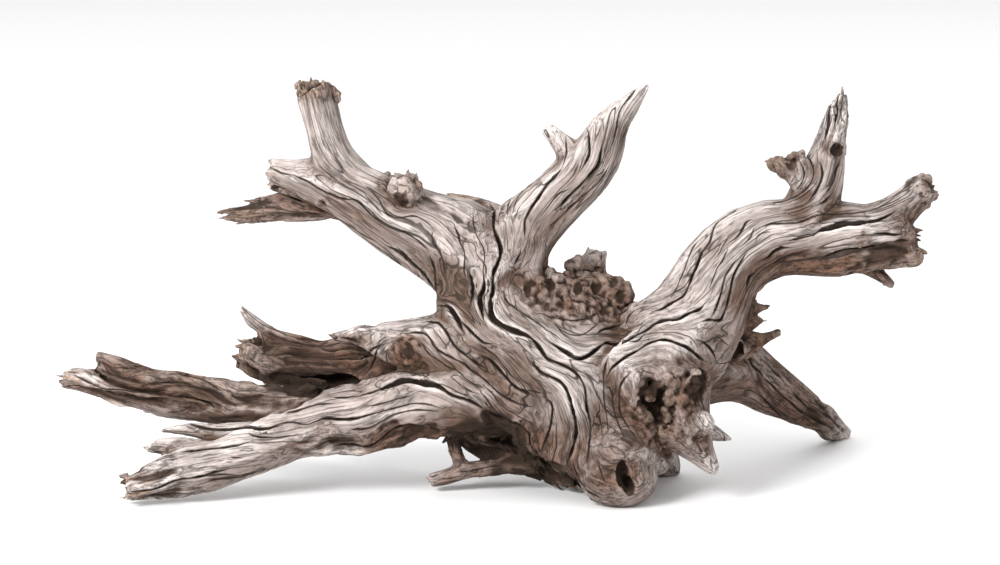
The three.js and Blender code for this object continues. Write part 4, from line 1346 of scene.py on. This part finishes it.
def build_stage(settings):
    bpy.ops.object.select_all(action="DESELECT")
    bpy.ops.mesh.primitive_plane_add(size=30, location=(0, 0, 0))
    floor = bpy.context.active_object
    floor.name = "floor"
    paint = bpy.data.materials.new("pale_floor")
    graph = Graph(paint)
    graph.put(graph.shader.inputs["Base Color"], settings.floor)
    graph.shader.inputs["Roughness"].default_value = 0.9
    floor.data.materials.append(paint)

    bpy.context.scene.view_settings.view_transform = "Standard"
    world = bpy.data.worlds.new("soft_sky")
    world.use_nodes = True
    world.node_tree.nodes["Background"].inputs["Color"].default_value = (1, 1, 1, 1)
    world.node_tree.nodes["Background"].inputs["Strength"].default_value = settings.sky
    bpy.context.scene.world = world
    aim = (-0.1, 0.05, 0.2)
    soft_light("key_light", (-1.8, -1.9, 1.7), aim, 1.0, settings.key)
    soft_light("fill_light", (1.9, -1.8, 1.0), aim, 1.6, settings.key * 0.1)
    soft_light("ceiling_light", (0, 2, 5), (0, 2, 0), 20, settings.ceiling)

    eye, _, _ = view_axes()
    lens = bpy.data.cameras.new("front_view")
    lens.sensor_width = 36
    lens.lens = 93.6
    camera = bpy.data.objects.new("front_view", lens)
    bpy.context.scene.collection.objects.link(camera)
    camera.location = eye
    camera.rotation_euler = (VIEW_TARGET - eye).to_track_quat("-Z", "Y").to_euler()
    bpy.context.scene.camera = camera


# ---------------------------------------------------------------- the add-on


def length(name, description, default):
    return bpy.props.FloatProperty(
        name=name, description=description, default=default, min=0.0, subtype="DISTANCE", unit="LENGTH"
    )


def paint(name, description, default):
    return bpy.props.FloatVectorProperty(
        name=name, description=description, default=(*default, 1.0), size=4, min=0, max=1, subtype="COLOR"
    )


class DriftwoodShape(bpy.types.PropertyGroup):
    guide_spacing: length("Guide spacing", "Spacing of the surface that the grain is found on", 4.5 * MM)
    skin_spacing: length("Skin spacing", "Spacing of the surface that is carved", 1.8 * MM)
    ridge_height: length("Ridge height", "How far the hard grain stands out of the soft", 1.05 * MM)
    crack_depth: length("Crack depth", "Depth of the deepest growth cracks", 9 * MM)
    most_triangles: bpy.props.IntProperty(
        name="Triangles", description="Triangles in the finished wood", default=155000, min=1000
    )


class DriftwoodColours(bpy.types.PropertyGroup):
    # The upper, lit end of the painted light and shade, over the real silver of sun-whitened wood
    bleached_and_lit: paint("Bleached", "Wood that the sun has turned silver", (0.68, 0.61, 0.58))
    # Painted shade on the undersides, over wood that stayed darker out of the sun
    shaded: paint("Shaded", "Wood on the sheltered sides", (0.125, 0.08, 0.06))
    brown: paint("Brown", "Wood that never bleached", (0.125, 0.066, 0.042))
    # Also the painted highlight on the crowns of the warts
    straw: paint("Straw", "Late breaks and torn fibres", (0.27, 0.185, 0.138))
    crease_shade_and_dust: paint("Dirt", "Dust and bark in the creases", (0.06, 0.034, 0.022))
    # Painted shade in the creases and hollows, with dust and bark
    rot: paint("Rot", "Soft dark wood inside the hollows", (0.032, 0.018, 0.011))
    # Painted shade inside the open cracks and between the warts, also the colour of the fine dark grain
    # lines
    crack: paint("Crack", "The bottom of the growth cracks", (0.02, 0.012, 0.008))


class DriftwoodStage(bpy.types.PropertyGroup):
    floor: paint("Floor", "The pale floor", (0.86, 0.86, 0.86))
    sky: bpy.props.FloatProperty(name="Sky", description="Strength of the even light", default=0.18, min=0)
    ceiling: bpy.props.FloatProperty(
        name="Ceiling light", description="Power of the light overhead", default=1515, min=0, unit="POWER"
    )
    key: bpy.props.FloatProperty(
        name="Key light", description="Power of the main soft light", default=104, min=0, unit="POWER"
    )


class DRIFTWOOD_OT_wood(bpy.types.Operator):
    """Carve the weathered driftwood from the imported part"""

    bl_idname = "driftwood.wood"
    bl_label = "Add Driftwood"

    def execute(self, context):
        wood = grow_wood(context.scene.driftwood_shape)
        finish_wood(wood, context.scene.driftwood_colours)
        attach(wood, "root")
        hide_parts("driftwood")
        return {"FINISHED"}


class DRIFTWOOD_OT_stage(bpy.types.Operator):
    """Add the pale floor, the soft lights and the front view"""

    bl_idname = "driftwood.stage"
    bl_label = "Add Stage"

    def execute(self, context):
        build_stage(context.scene.driftwood_stage)
        return {"FINISHED"}


class DRIFTWOOD_PT_panel(bpy.types.Panel):
    bl_idname = "DRIFTWOOD_PT_panel"
    bl_label = "Driftwood"
    bl_space_type = "VIEW_3D"
    bl_region_type = "UI"
    bl_category = "Driftwood"

    def draw(self, context):
        scene = context.scene
        for group, operator in (
            (scene.driftwood_shape, None),
            (scene.driftwood_colours, DRIFTWOOD_OT_wood),
            (scene.driftwood_stage, DRIFTWOOD_OT_stage),
        ):
            for name in type(group).__annotations__:
                self.layout.prop(group, name)
            if operator:
                self.layout.operator(operator.bl_idname)


GROUPS = {
    "driftwood_shape": DriftwoodShape,
    "driftwood_colours": DriftwoodColours,
    "driftwood_stage": DriftwoodStage,
}
CLASSES = (*GROUPS.values(), DRIFTWOOD_OT_wood, DRIFTWOOD_OT_stage, DRIFTWOOD_PT_panel)


def register():
    for cls in CLASSES:
        bpy.utils.register_class(cls)
    for name, group in GROUPS.items():
        setattr(bpy.types.Scene, name, bpy.props.PointerProperty(type=group))


def unregister():
    for name in GROUPS:
        delattr(bpy.types.Scene, name)
    for cls in reversed(CLASSES):
        bpy.utils.unregister_class(cls)


def main():
    register()
    bpy.ops.driftwood.wood()
    bpy.ops.driftwood.stage()
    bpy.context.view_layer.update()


if __name__ == "__main__":
    main()
